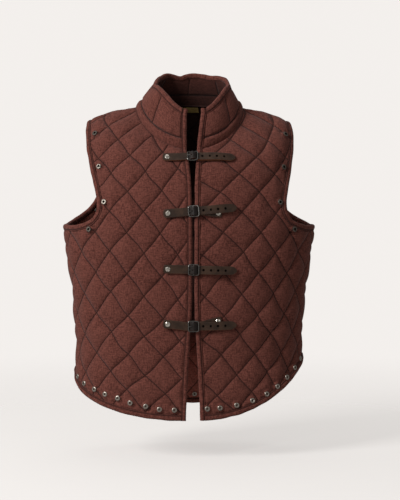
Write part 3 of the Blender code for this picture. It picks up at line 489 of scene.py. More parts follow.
def wall_mesh(name, outer, inner, maps, kinds):
    """Closed wall between two like grids. maps gives a (u, v) for each point of the grid."""
    rows, columns = outer.shape[:2]
    count = rows * columns
    front = quads(rows, columns)
    a, b, c = (outer.reshape(-1, 3)[front[0, i]] for i in (0, 1, 2))
    if np.dot(np.cross(b - a, c - a), outer[0, 0] - inner[0, 0]) < 0:
        front = front[:, ::-1]
    back = front[:, ::-1] + count
    index = np.arange(count).reshape(rows, columns)
    loop = np.concatenate([index[0, :-1], index[:-1, -1], index[-1, :0:-1], index[:0:-1, 0]])
    after = np.roll(loop, -1)
    used = {(int(face[i]), int(face[(i + 1) % 4])) for face in front[:1] for i in range(4)}
    forward = (int(loop[0]), int(after[0])) in used
    start, end = (after, loop) if forward else (loop, after)
    rim = np.stack([start, end, end + count, start + count], -1)
    faces = np.concatenate([front, back, rim])
    corner_maps = {}
    for map_name, values in maps.items():
        values = values.reshape(-1, 2)
        corner_maps[map_name] = np.concatenate([values, values])[faces]
    # The bake's own map: the outer face, the inner face, and the rim as a narrow strip.
    grid = np.stack(np.meshgrid(np.linspace(0, 1, columns), np.linspace(0, 1, rows)), -1).reshape(-1, 2)
    sheets = np.concatenate([grid * (0.48, 0.96) + (0.01, 0.03), grid * (0.48, 0.96) + (0.51, 0.03)])
    bake = sheets[faces]
    share = np.linspace(0.01, 0.99, len(rim) + 1)
    low, high = share[:-1], share[1:]
    strip = np.stack([low, high, high, low], -1)
    side = np.broadcast_to([0.004, 0.004, 0.018, 0.018], strip.shape)
    bake[-len(rim) :] = np.stack([strip, side], -1)
    corner_maps["OFBake"] = bake
    points = np.concatenate([outer.reshape(-1, 3), inner.reshape(-1, 3)])
    obj = mesh_object(name, points, faces.tolist(), corner_maps, kinds)
    slots = np.zeros(len(faces), np.int32)
    slots[len(front) : 2 * len(front)] = len(kinds) - 1
    obj.data.polygons.foreach_set("material_index", slots)
    return obj


# ---- the padded panels ----
def seats(points, spots):
    """Where hardware sits: 1 on its seat, and a ring of 1 where it pulls the cloth in around it."""
    on, ring = np.zeros(points.shape[:-1]), np.zeros(points.shape[:-1])
    for spot in spots:
        away = np.linalg.norm(points - spot, axis=-1)
        on = np.maximum(on, np.clip((0.0085 - away) / 0.0025, 0, 1))
        ring = np.maximum(ring, np.exp(-(((away - 0.0105) / 0.0035) ** 2)))
    return on, ring


def padded_panel(name, places, lengths_from, quilt, two_sides, spots, settings, seed):
    """A quilted panel: outer and inner faces with the puffs between the quilting lines."""
    angle, at = places[..., 0], places[..., 1]
    points = surface(BODY_SECTIONS, angle, at)
    normals = outward(BODY_SECTIONS, angle, at)
    length = lengths_from(points)
    height = points[..., 2]
    u, v = quilt(length, height, points)
    bound, seam = panel_distances(points, two_sides)
    line = quilt_relief(u, v)
    hem = np.exp(-((bound / 0.0045) ** 1.3))
    sewn = np.exp(-((seam / 0.0022) ** 1.3))
    dip = np.maximum.reduce([line * (1 - 0.6 * hem), hem * 0.6, sewn * 0.45]) * settings.quilt_depth
    loose = np.clip(np.minimum(bound, seam) / 0.02, 0, 1)
    free = np.clip(bound / 0.02, 0, 1)
    rise = settings.unevenness * free * ripple(points, 0.11, 9)
    rise += 0.0004 * free * ripple(points, 0.035, 70)
    rise += settings.pucker_height * loose * puckers(u, v, points, seed + 30)
    puff = np.clip((np.abs(points[..., 0]) - 0.095) / 0.03, 0, 1) * free
    rise += settings.side_puff * puff * (1 - line)
    on, ring = seats(points, spots)
    relief = rise - dip
    relief = relief * (1 - on) + settings.seat_height * on - 0.0011 * ring * (1 - on)
    relief = np.minimum(relief, MOST_RISE + 0.0021 * puff)
    outer = points + normals * relief[..., None]
    near_edge = np.maximum(hem, sewn)
    lining = -0.55 * settings.quilt_depth * np.maximum(line * (1 - near_edge), near_edge * 0.8)
    lining += 0.5 * rise
    depth = np.maximum(WALL + np.minimum(lining, MOST_SINK), LEAST_WALL - relief)
    inner = points - normals * depth[..., None]
    reach = np.where(bound < seam, EDGE_REACH, SEAM_REACH)
    reach[TIP_ROW:] = SEAM_REACH
    reach[TIP_ROW:, 0] = SEAM_REACH if two_sides else EDGE_REACH
    reach[-1] = EDGE_REACH
    outer, inner = reach_out(outer, reach), reach_out(inner, reach)
    maps = {"Cloth": np.stack([length, height], -1), "Quilt": np.stack([u, v], -1)}
    return wall_mesh(name, outer, inner, maps, ("Gambeson cloth", "Gambeson lining"))


def from_middle(points):
    """Length along each row from the centre line, for a row that starts beside it."""
    run = steps_along(points, 1)
    return run + np.abs(points[:, :1, 0])


def from_centre_back(points):
    run = steps_along(points, 1)
    middle = points.shape[1] // 2
    return run - run[:, middle : middle + 1]


# ---- collar ----
def quilt_collar(length, height, stitch):
    """Upright channels, four to each half from the centre back, above one line of stitching."""
    share = 4 * (1 - length / length[:, -1:])
    above = (height - stitch) * QUILT_PER_METRE
    return np.where(above > 0, share, np.round(share) + 0.5), np.clip(above, -0.5, 0.5)


def collar_faces(places, fine):
    """Points and normals of the collar, and the way its foot goes down beside the neck edges."""
    angle, at = places[..., 0], places[..., 1]
    outer = surface(COLLAR_SECTIONS, angle, at)
    normals = outward(COLLAR_SECTIONS, angle, at)
    _, inward = partials(BODY_SECTIONS, angle[0], NECK_K)
    fade = np.clip(1 - np.arange(len(places)) / fine, 0, 1)[:, None, None]
    outer = outer + fade * unit(inward) * NECK_CLEAR
    down = outward(BODY_SECTIONS, angle[0], NECK_K) * -COLLAR_BASE
    return outer, normals, down


def padded_collar(name, places, fine, settings, seed):
    points, normals, down = collar_faces(places, fine)
    length = steps_along(points, 1)
    height = steps_along(points, 0)
    u, v = quilt_collar(length, height, settings.collar_stitch)
    edge = edge_distance(points)
    near_edge = np.exp(-((edge / 0.0045) ** 1.3))
    foot_line = np.exp(-(((height - settings.collar_stitch) / 0.0035) ** 2))
    above = np.clip((height - settings.collar_stitch) / 0.004, 0, 1)
    line = quilt_relief(u, np.full_like(u, 0.5)) * above
    dip = np.maximum.reduce([line * (1 - 0.6 * near_edge), near_edge * 0.6, foot_line * 1.1])
    dip = dip * settings.quilt_depth * 0.8
    rise = 0.6 * settings.unevenness * ripple(points, 0.06, seed)
    rise += settings.pucker_height * puckers(u, v, points, seed + 30) * above
    rise *= np.clip(edge / 0.02, 0, 1)
    outer = points + normals * np.minimum(rise - dip, MOST_RISE)[..., None]
    depth = COLLAR_WALL + np.minimum(0.5 * rise - 0.4 * dip, MOST_SINK)
    inner = points - normals * depth[..., None]
    reach = np.full(edge.shape, SEAM_REACH)
    reach[0] = FOOT_REACH
    reach[-1] = EDGE_REACH
    reach[:, np.argmin(points[0, [0, -1], 1]) * -1] = EDGE_REACH
    outer, inner = reach_out(outer, reach), reach_out(inner, reach)
    outer, inner = (
        np.concatenate([[face[0] + down, face[0] + 0.5 * down], face]) for face in (outer, inner)
    )
    maps = {}
    for map_name, pair in (("Cloth", (length, height)), ("Quilt", (u, v))):
        values = np.stack(pair, -1)
        maps[map_name] = np.concatenate([values[:1], values[:1], values])
    return wall_mesh(name, outer, inner, maps, ("Gambeson cloth", "Gambeson lining"))


# ---- bindings ----
def binding_section(thick, short):
    """A bound edge's section, from the outer seam round its nose to the inner seam: how far each
    point lies from the seam, and how far out."""
    far = CLEAR - short
    nose = thick / 2
    flat = np.linspace(SEAM_GAP, far - nose, 9)
    turn = np.linspace(0, math.pi, 13)[1:]
    away = np.concatenate([flat, far - nose + nose * np.sin(turn), flat[-2::-1]])
    out = np.concatenate([np.zeros(9), -nose + nose * np.cos(turn), np.full(8, -thick)])
    return away, out


def bound_edge(name, edge, thick, settings, seed, closed=False, short=0.0, fine=8):
    """A padded strip folded over an edge, from coarse points of the panel's edge. `short` pulls
    its nose back."""
    points, normals, aways = edge
    coarse = np.concatenate([points, normals, aways], axis=1)
    if closed:
        coarse = np.concatenate([coarse[-1:], coarse, coarse[:2]])
        at = 1 + np.arange((len(coarse) - 3) * fine + 1) / fine
    else:
        at = np.arange((len(coarse) - 1) * fine + 1) / fine
    line = spline(coarse, at)
    path, normal, way = line[:, :3], unit(line[:, 3:6]), line[:, 6:]
    away, out = binding_section(thick, short)
    width = np.concatenate([[0], np.cumsum(np.hypot(np.diff(away), np.diff(out)))])
    length = run_of(path)
    side = np.gradient(away), np.gradient(out)
    size = np.hypot(*side)
    face_away, face_out = -side[1] / size, side[0] / size
    grid = path[:, None] + way[:, None] * away[:, None] + normal[:, None] * out[:, None]
    swell = settings.binding_swell * np.sin(np.pi * np.clip(width / width[-1], 0, 1)) ** 0.5
    groove = np.exp(-(((away - settings.binding_stitch) / 0.0012) ** 2))
    groove += 0.6 * np.exp(-away / 0.0012)
    groove[np.abs(width - width[-1] / 2) < thick / 2] = 0
    gather = np.sin(length[:, None] * 2 * np.pi / 0.008 + 2 * ripple(grid, 0.05, seed + 1))
    relief = swell - 0.0011 * groove
    relief = relief + 0.0004 * ripple(grid, 0.03, seed) + 0.00018 * gather * np.exp(-away / 0.004)
    facing = way[:, None] * face_away[:, None] + normal[:, None] * face_out[:, None]
    grid += facing * relief[..., None]
    cloth_map = np.stack(np.broadcast_arrays(length[:, None], width[None]), -1)
    rows, columns = grid.shape[:2]
    index = np.arange(rows * columns).reshape(rows, columns)
    if closed:
        grid[-1] = grid[0]
    else:
        grid[0] += unit(path[0] - path[1]) * END_REACH
        grid[-1] += unit(path[-1] - path[-2]) * END_REACH
    faces = quads(rows, columns)
    back = np.stack([index[:-1, -1], index[:-1, 0], index[1:, 0], index[1:, -1]], -1)
    faces = np.concatenate([faces, back])
    a, b, c = (grid.reshape(-1, 3)[faces[0, i]] for i in (0, 1, 2))
    turned = np.dot(np.cross(b - a, c - a), normal[0]) < 0
    if turned:
        faces = faces[:, ::-1]
    corner_map = cloth_map.reshape(-1, 2)[faces]
    faces = faces.tolist()
    corners = [corner_map.reshape(-1, 2)]
    if not closed:
        for cap in (index[0], index[-1, ::-1]):
            cap = cap[::-1] if not turned else cap
            faces.append(cap.tolist())
            corners.append(cloth_map.reshape(-1, 2)[cap])
    maps = {"Cloth": np.concatenate(corners)}
    obj = mesh_object(name, grid, faces, maps, ("Gambeson binding",))
    if closed:
        weld(obj)
    return obj


def weld(obj):
    mesh = obj.data
    bm = bmesh.new()
    bm.from_mesh(mesh)
    bmesh.ops.remove_doubles(bm, verts=bm.verts, dist=1e-6)
    bmesh.ops.recalc_face_normals(bm, faces=bm.faces)
    bm.to_mesh(mesh)
    bm.free()


def edge_ways(points, normals, side, first=None, last=None):
    """Directions in the surface, across the edge line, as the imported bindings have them."""
    padded = np.concatenate([points[:1], points, points[-1:]])
    ways = unit(np.cross(normals, padded[2:] - padded[:-2])) * side
    for index, given in ((0, first), (-1, last)):
        if given is not None:
            ways[index] = given / max(float(given @ ways[index]), 0.5)
    return ways


def flipped(places, sign):
    return np.asarray(places) * (sign, 1)


def on_places(sections, places):
    return surface(sections, places[:, 0], places[:, 1]), outward(sections, places[:, 0], places[:, 1])


def along_at(sections, place):
    return unit(partials(sections, *place)[1])


def front_edge(sign, front, collar):
    body = flipped(front[:, 0], sign)
    rise = [(gap_angle(COLLAR_SECTIONS, row[0, 1], CLEAR), row[0, 1]) for row in collar[1:]]
    rise = flipped(rise, sign)
    low, high = on_places(BODY_SECTIONS, body), on_places(COLLAR_SECTIONS, rise)
    points, normals = (np.concatenate(pair) for pair in zip(low, high))
    first = points[0] - along_at(BODY_SECTIONS, body[0]) * CLEAR
    last = points[-1] + along_at(COLLAR_SECTIONS, rise[-1]) * CLEAR
    points = np.concatenate([first[None], points, last[None]])
    normals = np.concatenate([normals[:1], normals, normals[-1:]])
    return points, normals, edge_ways(points, normals, sign)


def armhole_edge(sign, front, back):
    rising, falling = front[SIDE_ROWS : TIP + 1, -1].copy(), back[SIDE_ROWS : TIP + 1, -1][::-1]
    rising[[0, -1], 0] = math.pi / 2
    ring = flipped(np.concatenate([rising, falling[1:-1]]), sign)
    points, normals = on_places(BODY_SECTIONS, ring)
    around, facing = (np.concatenate([a[-1:], a, a[:1]]) for a in (points, normals))
    return points, normals, edge_ways(around, facing, -sign)[1:-1]


def hem_edge(places, side):
    points, normals = on_places(BODY_SECTIONS, places)
    first, last = (-along_at(BODY_SECTIONS, places[i]) for i in (0, -1))
    return points, normals, edge_ways(points, normals, side, first, last)


def rim_edge(collar):
    top = collar[-1]
    rim = np.concatenate([top[:-1], [(math.pi, top[-1, 1])], (2 * math.pi, 0) + top[-2::-1] * (-1, 1)])
    points, normals = on_places(COLLAR_SECTIONS, rim)
    ways = (along_at(COLLAR_SECTIONS, rim[i]) for i in (0, -1))
    return points, normals, edge_ways(points, normals, 1, *ways)


# ---- turned metal ----
def turned(profile, steps):
    """Points and faces of a closed ring turned from a closed profile of (radius, height)."""
    profile = np.asarray(profile)
    turn = np.arange(steps) * 2 * np.pi / steps
    points = np.stack([
        np.outer(np.cos(turn), profile[:, 0]),
        np.outer(np.sin(turn), profile[:, 0]),
        np.broadcast_to(profile[:, 1], (steps, len(profile))),
    ], -1)
    index = np.arange(steps * len(profile)).reshape(steps, len(profile))
    after = np.roll(index, -1, axis=0)
    faces = np.stack([index, after, np.roll(after, -1, axis=1), np.roll(index, -1, axis=1)], -1)
    return points.reshape(-1, 3), faces.reshape(-1, 4)


def frame_on(normal):
    """Axes (rows) of a piece that lies on the cloth, its third axis along the normal."""
    up = np.array([0, 0, 1.0])
    side = unit(np.cross(up, normal))
    return np.stack([side, np.cross(normal, side), normal])


def placed_rings(name, profile, spots, lift, kind, steps):
    """One object of like rings, each standing at a spot given as (point, normal)."""
    ring, faces = turned(profile, steps)
    points, all_faces = [], []
    for index, (point, normal) in enumerate(spots):
        points.append(ring @ frame_on(normal) + point + normal * lift)
        all_faces.append(faces + index * len(ring))
    points, faces = np.concatenate(points), np.concatenate(all_faces)
    maps = {"Cloth": points[faces][..., [0, 2]]}
    obj = mesh_object(name, points, faces.tolist(), maps, (kind,), 40)
    weld(obj)
    return obj


def eyelet_profile(radius, hole, height):
    return (
        (hole, 0.55 * height), (hole + 0.0004, 0.92 * height), (hole + 0.0011, height),
        (radius - 0.0013, 0.92 * height), (radius - 0.0004, 0.6 * height), (radius, 0.1 * height),
        (radius, -0.0004), (hole, -0.0004),
    )


def cup_profile(hole, height):
    """Dark cup in an eyelet's hole, a painted shadow of its depth."""
    return (
        (hole - 0.0001, 0.8 * height), (hole - 0.0001, -0.0010), (0.0, -0.0010),
        (0.0, -0.0002), (hole - 0.0004, -0.0002), (hole - 0.0004, 0.8 * height),
    )


def turned_over(profile):
    """The same profile on the inner face of the wall."""
    return tuple((across, -WALL - 0.0014 - rise) for across, rise in reversed(profile))


# ---- materials ----
def add(tree, kind, *values, **settings):
    """A node whose inputs are set or linked in order; None leaves an input as it is."""
    node = tree.nodes.new(kind)
    for key, value in settings.items():
        setattr(node, key, value)
    for socket, value in zip(node.inputs, values):
        if isinstance(value, bpy.types.NodeSocket):
            tree.links.new(value, socket)
        elif value is not None:
            socket.default_value = value
    return node


def maths(tree, operation, *values):
    return add(tree, "ShaderNodeMath", *values, operation=operation).outputs[0]


def weighted(tree, first, *pairs):
    """A value with more values added to it, each times its weight."""
    for value, weight in pairs:
        first = maths(tree, "ADD", first, maths(tree, "MULTIPLY", value, weight))
    return first


def noise(tree, vector, scale, detail=4.0, roughness=0.6):
    return add(tree, "ShaderNodeTexNoise", vector, None, scale, detail, roughness).outputs[0]


def stretched_noise(tree, vector, scale, detail=3.0, roughness=0.6):
    """Noise with its own scale along each axis of the map."""
    spread = add(tree, "ShaderNodeVectorMath", vector, scale, operation="MULTIPLY").outputs[0]
    return noise(tree, spread, 1.0, detail, roughness)


def ramp(tree, value, low, high, to_low=0.0, to_high=1.0):
    limits = (low, high, to_low, to_high)
    node = add(tree, "ShaderNodeMapRange", value, *limits, interpolation_type="SMOOTHSTEP")
    return node.outputs[0]


def distance_from(tree, value, middle):
    return maths(tree, "ABSOLUTE", maths(tree, "SUBTRACT", value, middle))


def axes(tree, place):
    return add(tree, "ShaderNodeSeparateXYZ", place).outputs


def object_place(tree):
    return add(tree, "ShaderNodeTexCoord").outputs["Object"]


def uv_place(tree, name):
    return add(tree, "ShaderNodeUVMap", uv_map=name).outputs[0]


def new_group(name, inputs, outputs):
    """A node group with (name, socket kind, default) inputs and (name, socket kind) outputs."""
    tree = bpy.data.node_groups.new(name, "ShaderNodeTree")
    for socket_name, kind, default in inputs:
        socket = tree.interface.new_socket(socket_name, in_out="INPUT", socket_type=kind)
        if default is not None:
            socket.default_value = default
    for socket_name, kind in outputs:
        tree.interface.new_socket(socket_name, in_out="OUTPUT", socket_type=kind)
    return tree, tree.nodes.new("NodeGroupInput"), tree.nodes.new("NodeGroupOutput")


def finish_group(tree, end, *values):
    for socket, value in zip(end.inputs, values):
        tree.links.new(value, socket)


def make_weave_group():
    """Slubby plain weave with a short nap: thread height in millimetres, and a tone of 0 to 1."""
    tree, start, end = new_group(
        "Slubby weave",
        (("Map", "NodeSocketVector", None), ("Thread", "NodeSocketFloat", 0.0011)),
        (("Height", "NodeSocketFloat"), ("Tone", "NodeSocketFloat")),
    )
    place, thread = start.outputs[0], start.outputs[1]
    parts = axes(tree, place)
    turns = [maths(tree, "DIVIDE", parts[i], thread) for i in (0, 1)]
    waves = [maths(tree, "SINE", maths(tree, "MULTIPLY", turn, math.pi)) for turn in turns]
    ridges = [maths(tree, "ABSOLUTE", wave) for wave in waves]
    over = maths(tree, "MULTIPLY", waves[0], waves[1])
    woven = weighted(tree, maths(tree, "MULTIPLY", *ridges), (over, 0.35))
    warp = stretched_noise(tree, place, (620, 80, 0))
    weft = stretched_noise(tree, place, (80, 620, 0))
    fuzz = stretched_noise(tree, place, (300, 300, 0), 5.0, 0.75)
    slubs = maths(tree, "MULTIPLY", maths(tree, "ADD", warp, weft), 0.5)
    height = weighted(tree, maths(tree, "MULTIPLY", woven, 0.10), (slubs, 0.34), (fuzz, 0.30))
    tone = weighted(tree, maths(tree, "MULTIPLY", slubs, 0.7), (fuzz, 0.5))
    finish_group(tree, end, height, ramp(tree, tone, 0.50, 0.70))
    return tree


def dashes(tree, run, pitch):
    """1 along a stitch and 0 between stitches."""
    part = maths(tree, "FRACT", maths(tree, "DIVIDE", run, pitch))
    return ramp(tree, distance_from(tree, part, 0.5), 0.42, 0.34)


def stitched(tree, away, run):
    """Thread of a row of stitches, from the distance to the row and the length along it."""
    line = ramp(tree, away, THREAD_EDGE, THREAD_CORE)
    return maths(tree, "MULTIPLY", line, dashes(tree, run, STITCH))


def make_quilting_group():
    """Sewn quilting lines at each whole value of the map: a crease and its stitches."""
    tree, start, end = new_group(
        "Quilting lines",
        (("Map", "NodeSocketVector", None),),
        (("Crease", "NodeSocketFloat"), ("Core", "NodeSocketFloat"), ("Thread", "NodeSocketFloat")),
    )
    parts = axes(tree, start.outputs[0])
    creases, cores, threads = [], [], []
    for line, along in ((0, 1), (1, 0)):
        part = maths(tree, "FRACT", maths(tree, "ADD", parts[line], 0.5))
        away = maths(tree, "DIVIDE", distance_from(tree, part, 0.5), QUILT_PER_METRE)
        creases.append(ramp(tree, away, 0.0045, 0.0))
        cores.append(ramp(tree, away, 0.0016, 0.0004))
        run = maths(tree, "DIVIDE", parts[along], QUILT_PER_METRE)
        threads.append(stitched(tree, away, run))
    finish_group(tree, end, *(maths(tree, "MAXIMUM", *pair) for pair in (creases, cores, threads)))
    return tree


def make_edge_stitch_group():
    """A row of stitches beside each seam of a binding."""
    tree, start, end = new_group(
        "Binding stitches",
        (
            ("Map", "NodeSocketVector", None),
            ("Line", "NodeSocketFloat", 0.002),
            ("Width", "NodeSocketFloat", 0.027),
        ),
        (("Groove", "NodeSocketFloat"), ("Thread", "NodeSocketFloat")),
    )
    parts = axes(tree, start.outputs[0])
    half = maths(tree, "MULTIPLY", start.outputs[2], 0.5)
    folded = maths(tree, "SUBTRACT", half, distance_from(tree, parts[1], half))
    away = distance_from(tree, folded, start.outputs[1])
    finish_group(tree, end, ramp(tree, away, 0.0020, 0.0003), stitched(tree, away, parts[0]))
    return tree


def new_material(name, **constants):
    """A material's tree and shader, with its sockets set from keywords such as sheen_weight."""
    material = bpy.data.materials.new(name)
    material.use_nodes = True
    shader = material.node_tree.nodes["Principled BSDF"]
    for key, value in constants.items():
        shader.inputs[key.replace("_", " ").title().replace("Ior", "IOR")].default_value = value
    return material.node_tree, shader


def mix_colour(tree, share, a, b, blend="MIX"):
    node = add(tree, "ShaderNodeMix", data_type="RGBA", blend_type=blend, clamp_factor=True)
    for index, value in ((0, share), (6, a), (7, b)):
        socket = node.inputs[index]
        if isinstance(value, bpy.types.NodeSocket):
            tree.links.new(value, socket)
        else:
            socket.default_value = value
    return node.outputs[2]


def bump(tree, shader, height, strength=1.0):
    """Bump from a height in millimetres."""
    node = add(tree, "ShaderNodeBump", strength, 0.001)
    tree.links.new(height, node.inputs["Height"])
    tree.links.new(node.outputs[0], shader.inputs["Normal"])


def colour(settings_value):
    return (*settings_value, 1.0)


def tinted(tree, base, mask, strength, tint):
    """The base colour turned toward a tint where the mask is 1."""
    return mix_colour(tree, maths(tree, "MULTIPLY", mask, strength), base, colour(tint))


def lining_shade(tree, settings):
    """Painted shade and painted light on the inner faces: their brightness by height, at the collar's
    rim and by the armholes.
    """
    place = axes(tree, object_place(tree))
    low, high = settings.lining_low, settings.lining_high
    shade = ramp(tree, place[2], *LINING_HEIGHTS, low, high)
    for value, limits, level in (
        (place[2], LINING_RIM, settings.lining_top),
        (maths(tree, "ABSOLUTE", place[0]), LINING_SIDES, settings.lining_aside),
    ):
        shade = maths(tree, "MULTIPLY", shade, ramp(tree, value, *limits, 1.0, level))
    return shade


def cloth_shader(name):
    return new_material(
        name, roughness=0.92, specular_ior_level=0.10, sheen_weight=0.05, sheen_roughness=0.5
    )
def cloth_material(name, settings, weave, quilting):
    tree, shader = cloth_shader(name)
    place, lines = uv_place(tree, "Cloth"), uv_place(tree, "Quilt")
    cloth = add(tree, "ShaderNodeGroup", place, settings.thread, node_tree=weave)
    sewn = add(tree, "ShaderNodeGroup", lines, node_tree=quilting)
    wear = ramp(tree, stretched_noise(tree, place, (22, 22, 0), 4.0, 0.65), 0.35, 0.7)
    base = mix_colour(tree, cloth.outputs["Tone"], colour(settings.dark), colour(settings.light))
    crease, core, thread = sewn.outputs
    base = tinted(tree, base, wear, 0.35, settings.worn)
    # Painted shade: the cores of the quilting lines darkened toward the crease colour.
    base = tinted(tree, base, core, 0.75, settings.crease)
    base = tinted(tree, base, thread, 0.6, settings.stitch)
    # The inner faces get painted shade high up and painted light low down, at the collar's rim and by
    # the armholes.
    if name == "Gambeson lining":
        base = add(tree, "ShaderNodeVectorMath", base, operation="SCALE")
        tree.links.new(lining_shade(tree, settings), base.inputs["Scale"])
        base = base.outputs[0]
    tree.links.new(base, shader.inputs["Base Color"])
    pairs = (core, -0.9), (crease, -0.8), (thread, 0.45)
    bump(tree, shader, weighted(tree, cloth.outputs["Height"], *pairs))


def binding_material(settings, weave, stitches):
    tree, shader = cloth_shader("Gambeson binding")
    place = uv_place(tree, "Cloth")
    cloth = add(tree, "ShaderNodeGroup", place, settings.thread, node_tree=weave)
    sizes = settings.binding_stitch, settings.binding_round
    groove, thread = add(tree, "ShaderNodeGroup", place, *sizes, node_tree=stitches).outputs
    base = mix_colour(tree, cloth.outputs["Tone"], colour(settings.dark), colour(settings.light))
    # Painted shade: the seam groove beside the binding darkened toward the crease colour.
    base = tinted(tree, base, groove, 0.6, settings.crease)
    base = tinted(tree, base, thread, 0.6, settings.stitch)
    tree.links.new(base, shader.inputs["Base Color"])
    bump(tree, shader, weighted(tree, cloth.outputs["Height"], (groove, -0.7), (thread, 0.45)))


def tape_material(settings):
    tree, shader = new_material("Gambeson tape", roughness=0.8)
    place = uv_place(tree, "Cloth")
    ribs = maths(tree, "SINE", maths(tree, "MULTIPLY", axes(tree, place)[0], 9000))
    tone = ramp(tree, stretched_noise(tree, place, (800, 300, 0)), 0.3, 0.7)
    base = mix_colour(tree, tone, (0.145, 0.095, 0.022, 1), (0.225, 0.155, 0.037, 1))
    tree.links.new(base, shader.inputs["Base Color"])
    bump(tree, shader, maths(tree, "MULTIPLY", ribs, 0.08))


def leather_material(settings):
    """Waxed strap leather; its place comes from the object, whose sizes are real."""
    tree, shader = new_material("Gambeson leather", roughness=0.5, specular_ior_level=0.30)
    place = object_place(tree)
    grain = add(tree, "ShaderNodeTexVoronoi", place, None, 900.0).outputs["Distance"]
    fine = noise(tree, place, 700.0)
    broad = ramp(tree, noise(tree, place, 60.0), 0.35, 0.7)
    base = mix_colour(tree, broad, colour(settings.leather_dark), colour(settings.leather_light))
    # Down-facing cut edges: their real reddish edge colour, brightened as a painted highlight.
    facing = axes(tree, add(tree, "ShaderNodeNewGeometry").outputs["Normal"])[2]
    base = mix_colour(tree, ramp(tree, facing, -0.25, -0.75), base, colour(settings.leather_edge_and_highlight))
    # Painted shade: the leather inside a buckle darkened.
    across = maths(tree, "ABSOLUTE", axes(tree, place)[0])
    inside = ramp(tree, across, BUCKLE_HALF, BUCKLE_HALF + BUCKLE_SHADE, 0.75, 0.0)
    base = mix_colour(tree, inside, base, colour(settings.leather_buckle_shade))
    tree.links.new(base, shader.inputs["Base Color"])
    tree.links.new(ramp(tree, fine, 0.3, 0.7, 0.42, 0.62), shader.inputs["Roughness"])
    bump(tree, shader, weighted(tree, maths(tree, "MULTIPLY", grain, 0.12), (fine, 0.10)))


def metal_material(name, base, roughness, tarnish):
    tree, shader = new_material(name, metallic=1.0)
    place = object_place(tree)
    cloud = ramp(tree, noise(tree, place, 380.0, 4.0, 0.65), 0.40, 0.68)
    dark = tuple(value * tarnish for value in base)
    tree.links.new(mix_colour(tree, cloud, colour(base), colour(dark)), shader.inputs["Base Color"])
    tree.links.new(ramp(tree, cloud, 0.0, 1.0, roughness, roughness + 0.22), shader.inputs["Roughness"])
    bump(tree, shader, maths(tree, "MULTIPLY", noise(tree, place, 1500.0, 3.0), 0.03))


# Dark colour for the insides of holes: painted shadow.
def hole_material(name, dark, light):
    tree, shader = new_material(name, roughness=0.9, specular_ior_level=0.0)
    cloud = noise(tree, object_place(tree), 500.0, 3.0)
    base = mix_colour(tree, cloud, colour(dark), colour(light))
    tree.links.new(base, shader.inputs["Base Color"])


# ---- settings ----
def length_setting(name, description, default, low=0.0, high=1.0):
    limits = {"min": low, "max": high, "unit": "LENGTH", "precision": 5}
    return FloatProperty(name=name, description=description, default=default, **limits)


def amount_setting(name, description, default):
    return FloatProperty(name=name, description=description, default=default)


def angle_setting(name, description, degrees):
    return FloatProperty(
        name=name, description=description, default=math.radians(degrees), unit="ROTATION"
    )


def colour_setting(name, description, default):
    return FloatVectorProperty(
        name=name, description=description, default=default, size=3, min=0, max=1, subtype="COLOR"
    )


class GAMBESON_PG_cloth(bpy.types.PropertyGroup):
    """The padded cloth, its quilting and its bindings."""

    quilt_depth: length_setting("Quilt depth", "How far the quilting lines sink", 0.0042)
    unevenness: length_setting("Unevenness", "How much the padding lies unevenly", 0.0011)
    pucker_height: length_setting("Pucker height", "Height of the gathers across the lines", 0.00035)
    side_puff: length_setting("Side puff", "How far the puffs swell out toward the sides", 0.0016)
    seat_height: length_setting("Seat height", "How far the cloth stands up under an eyelet", 0.0007)
    collar_stitch: length_setting("Collar stitch", "Height of the collar's lower stitch line", 0.0205)
    binding_swell: length_setting("Binding swell", "How far the bound edges puff out", 0.0009)
    front_pull: length_setting("Front pull", "How far the front edges draw back", 0.0015)
    binding_stitch: length_setting("Binding stitch", "Stitch line's distance from the seam", 0.0020)
    binding_round: length_setting("Binding round", "Width of a binding from seam to seam", 0.0272)
    thread: length_setting("Thread", "Spacing of the weave's threads", 0.0009)
    dark: colour_setting("Dark tone", "Darker threads", (0.054, 0.0158, 0.0115))
    light: colour_setting("Light tone", "Lighter threads", (0.158, 0.0510, 0.0378))
    worn: colour_setting("Worn tone", "Where the nap is rubbed", (0.128, 0.0430, 0.0320))
    # Painted shade in the quilting creases and in the bindings' seam grooves.
    crease: colour_setting("Crease", "Cloth in the quilting lines", (0.020, 0.0055, 0.0040))
    stitch: colour_setting("Stitch", "Sewing thread", (0.038, 0.0120, 0.0090))
    # Painted light and painted shade on the inner faces: how much their colour is scaled.
    lining_low: amount_setting("Lining at the hem", "Brightness of the inner faces low down", 2.1)
    lining_high: amount_setting("Lining higher up", "Brightness of the inner faces above that", 0.20)
    lining_top: amount_setting("Lining at the rim", "Brightness of the collar's inner face", 2.4)
    lining_aside: amount_setting("Lining aside", "Brightness of the inner faces by the armholes", 12.0)


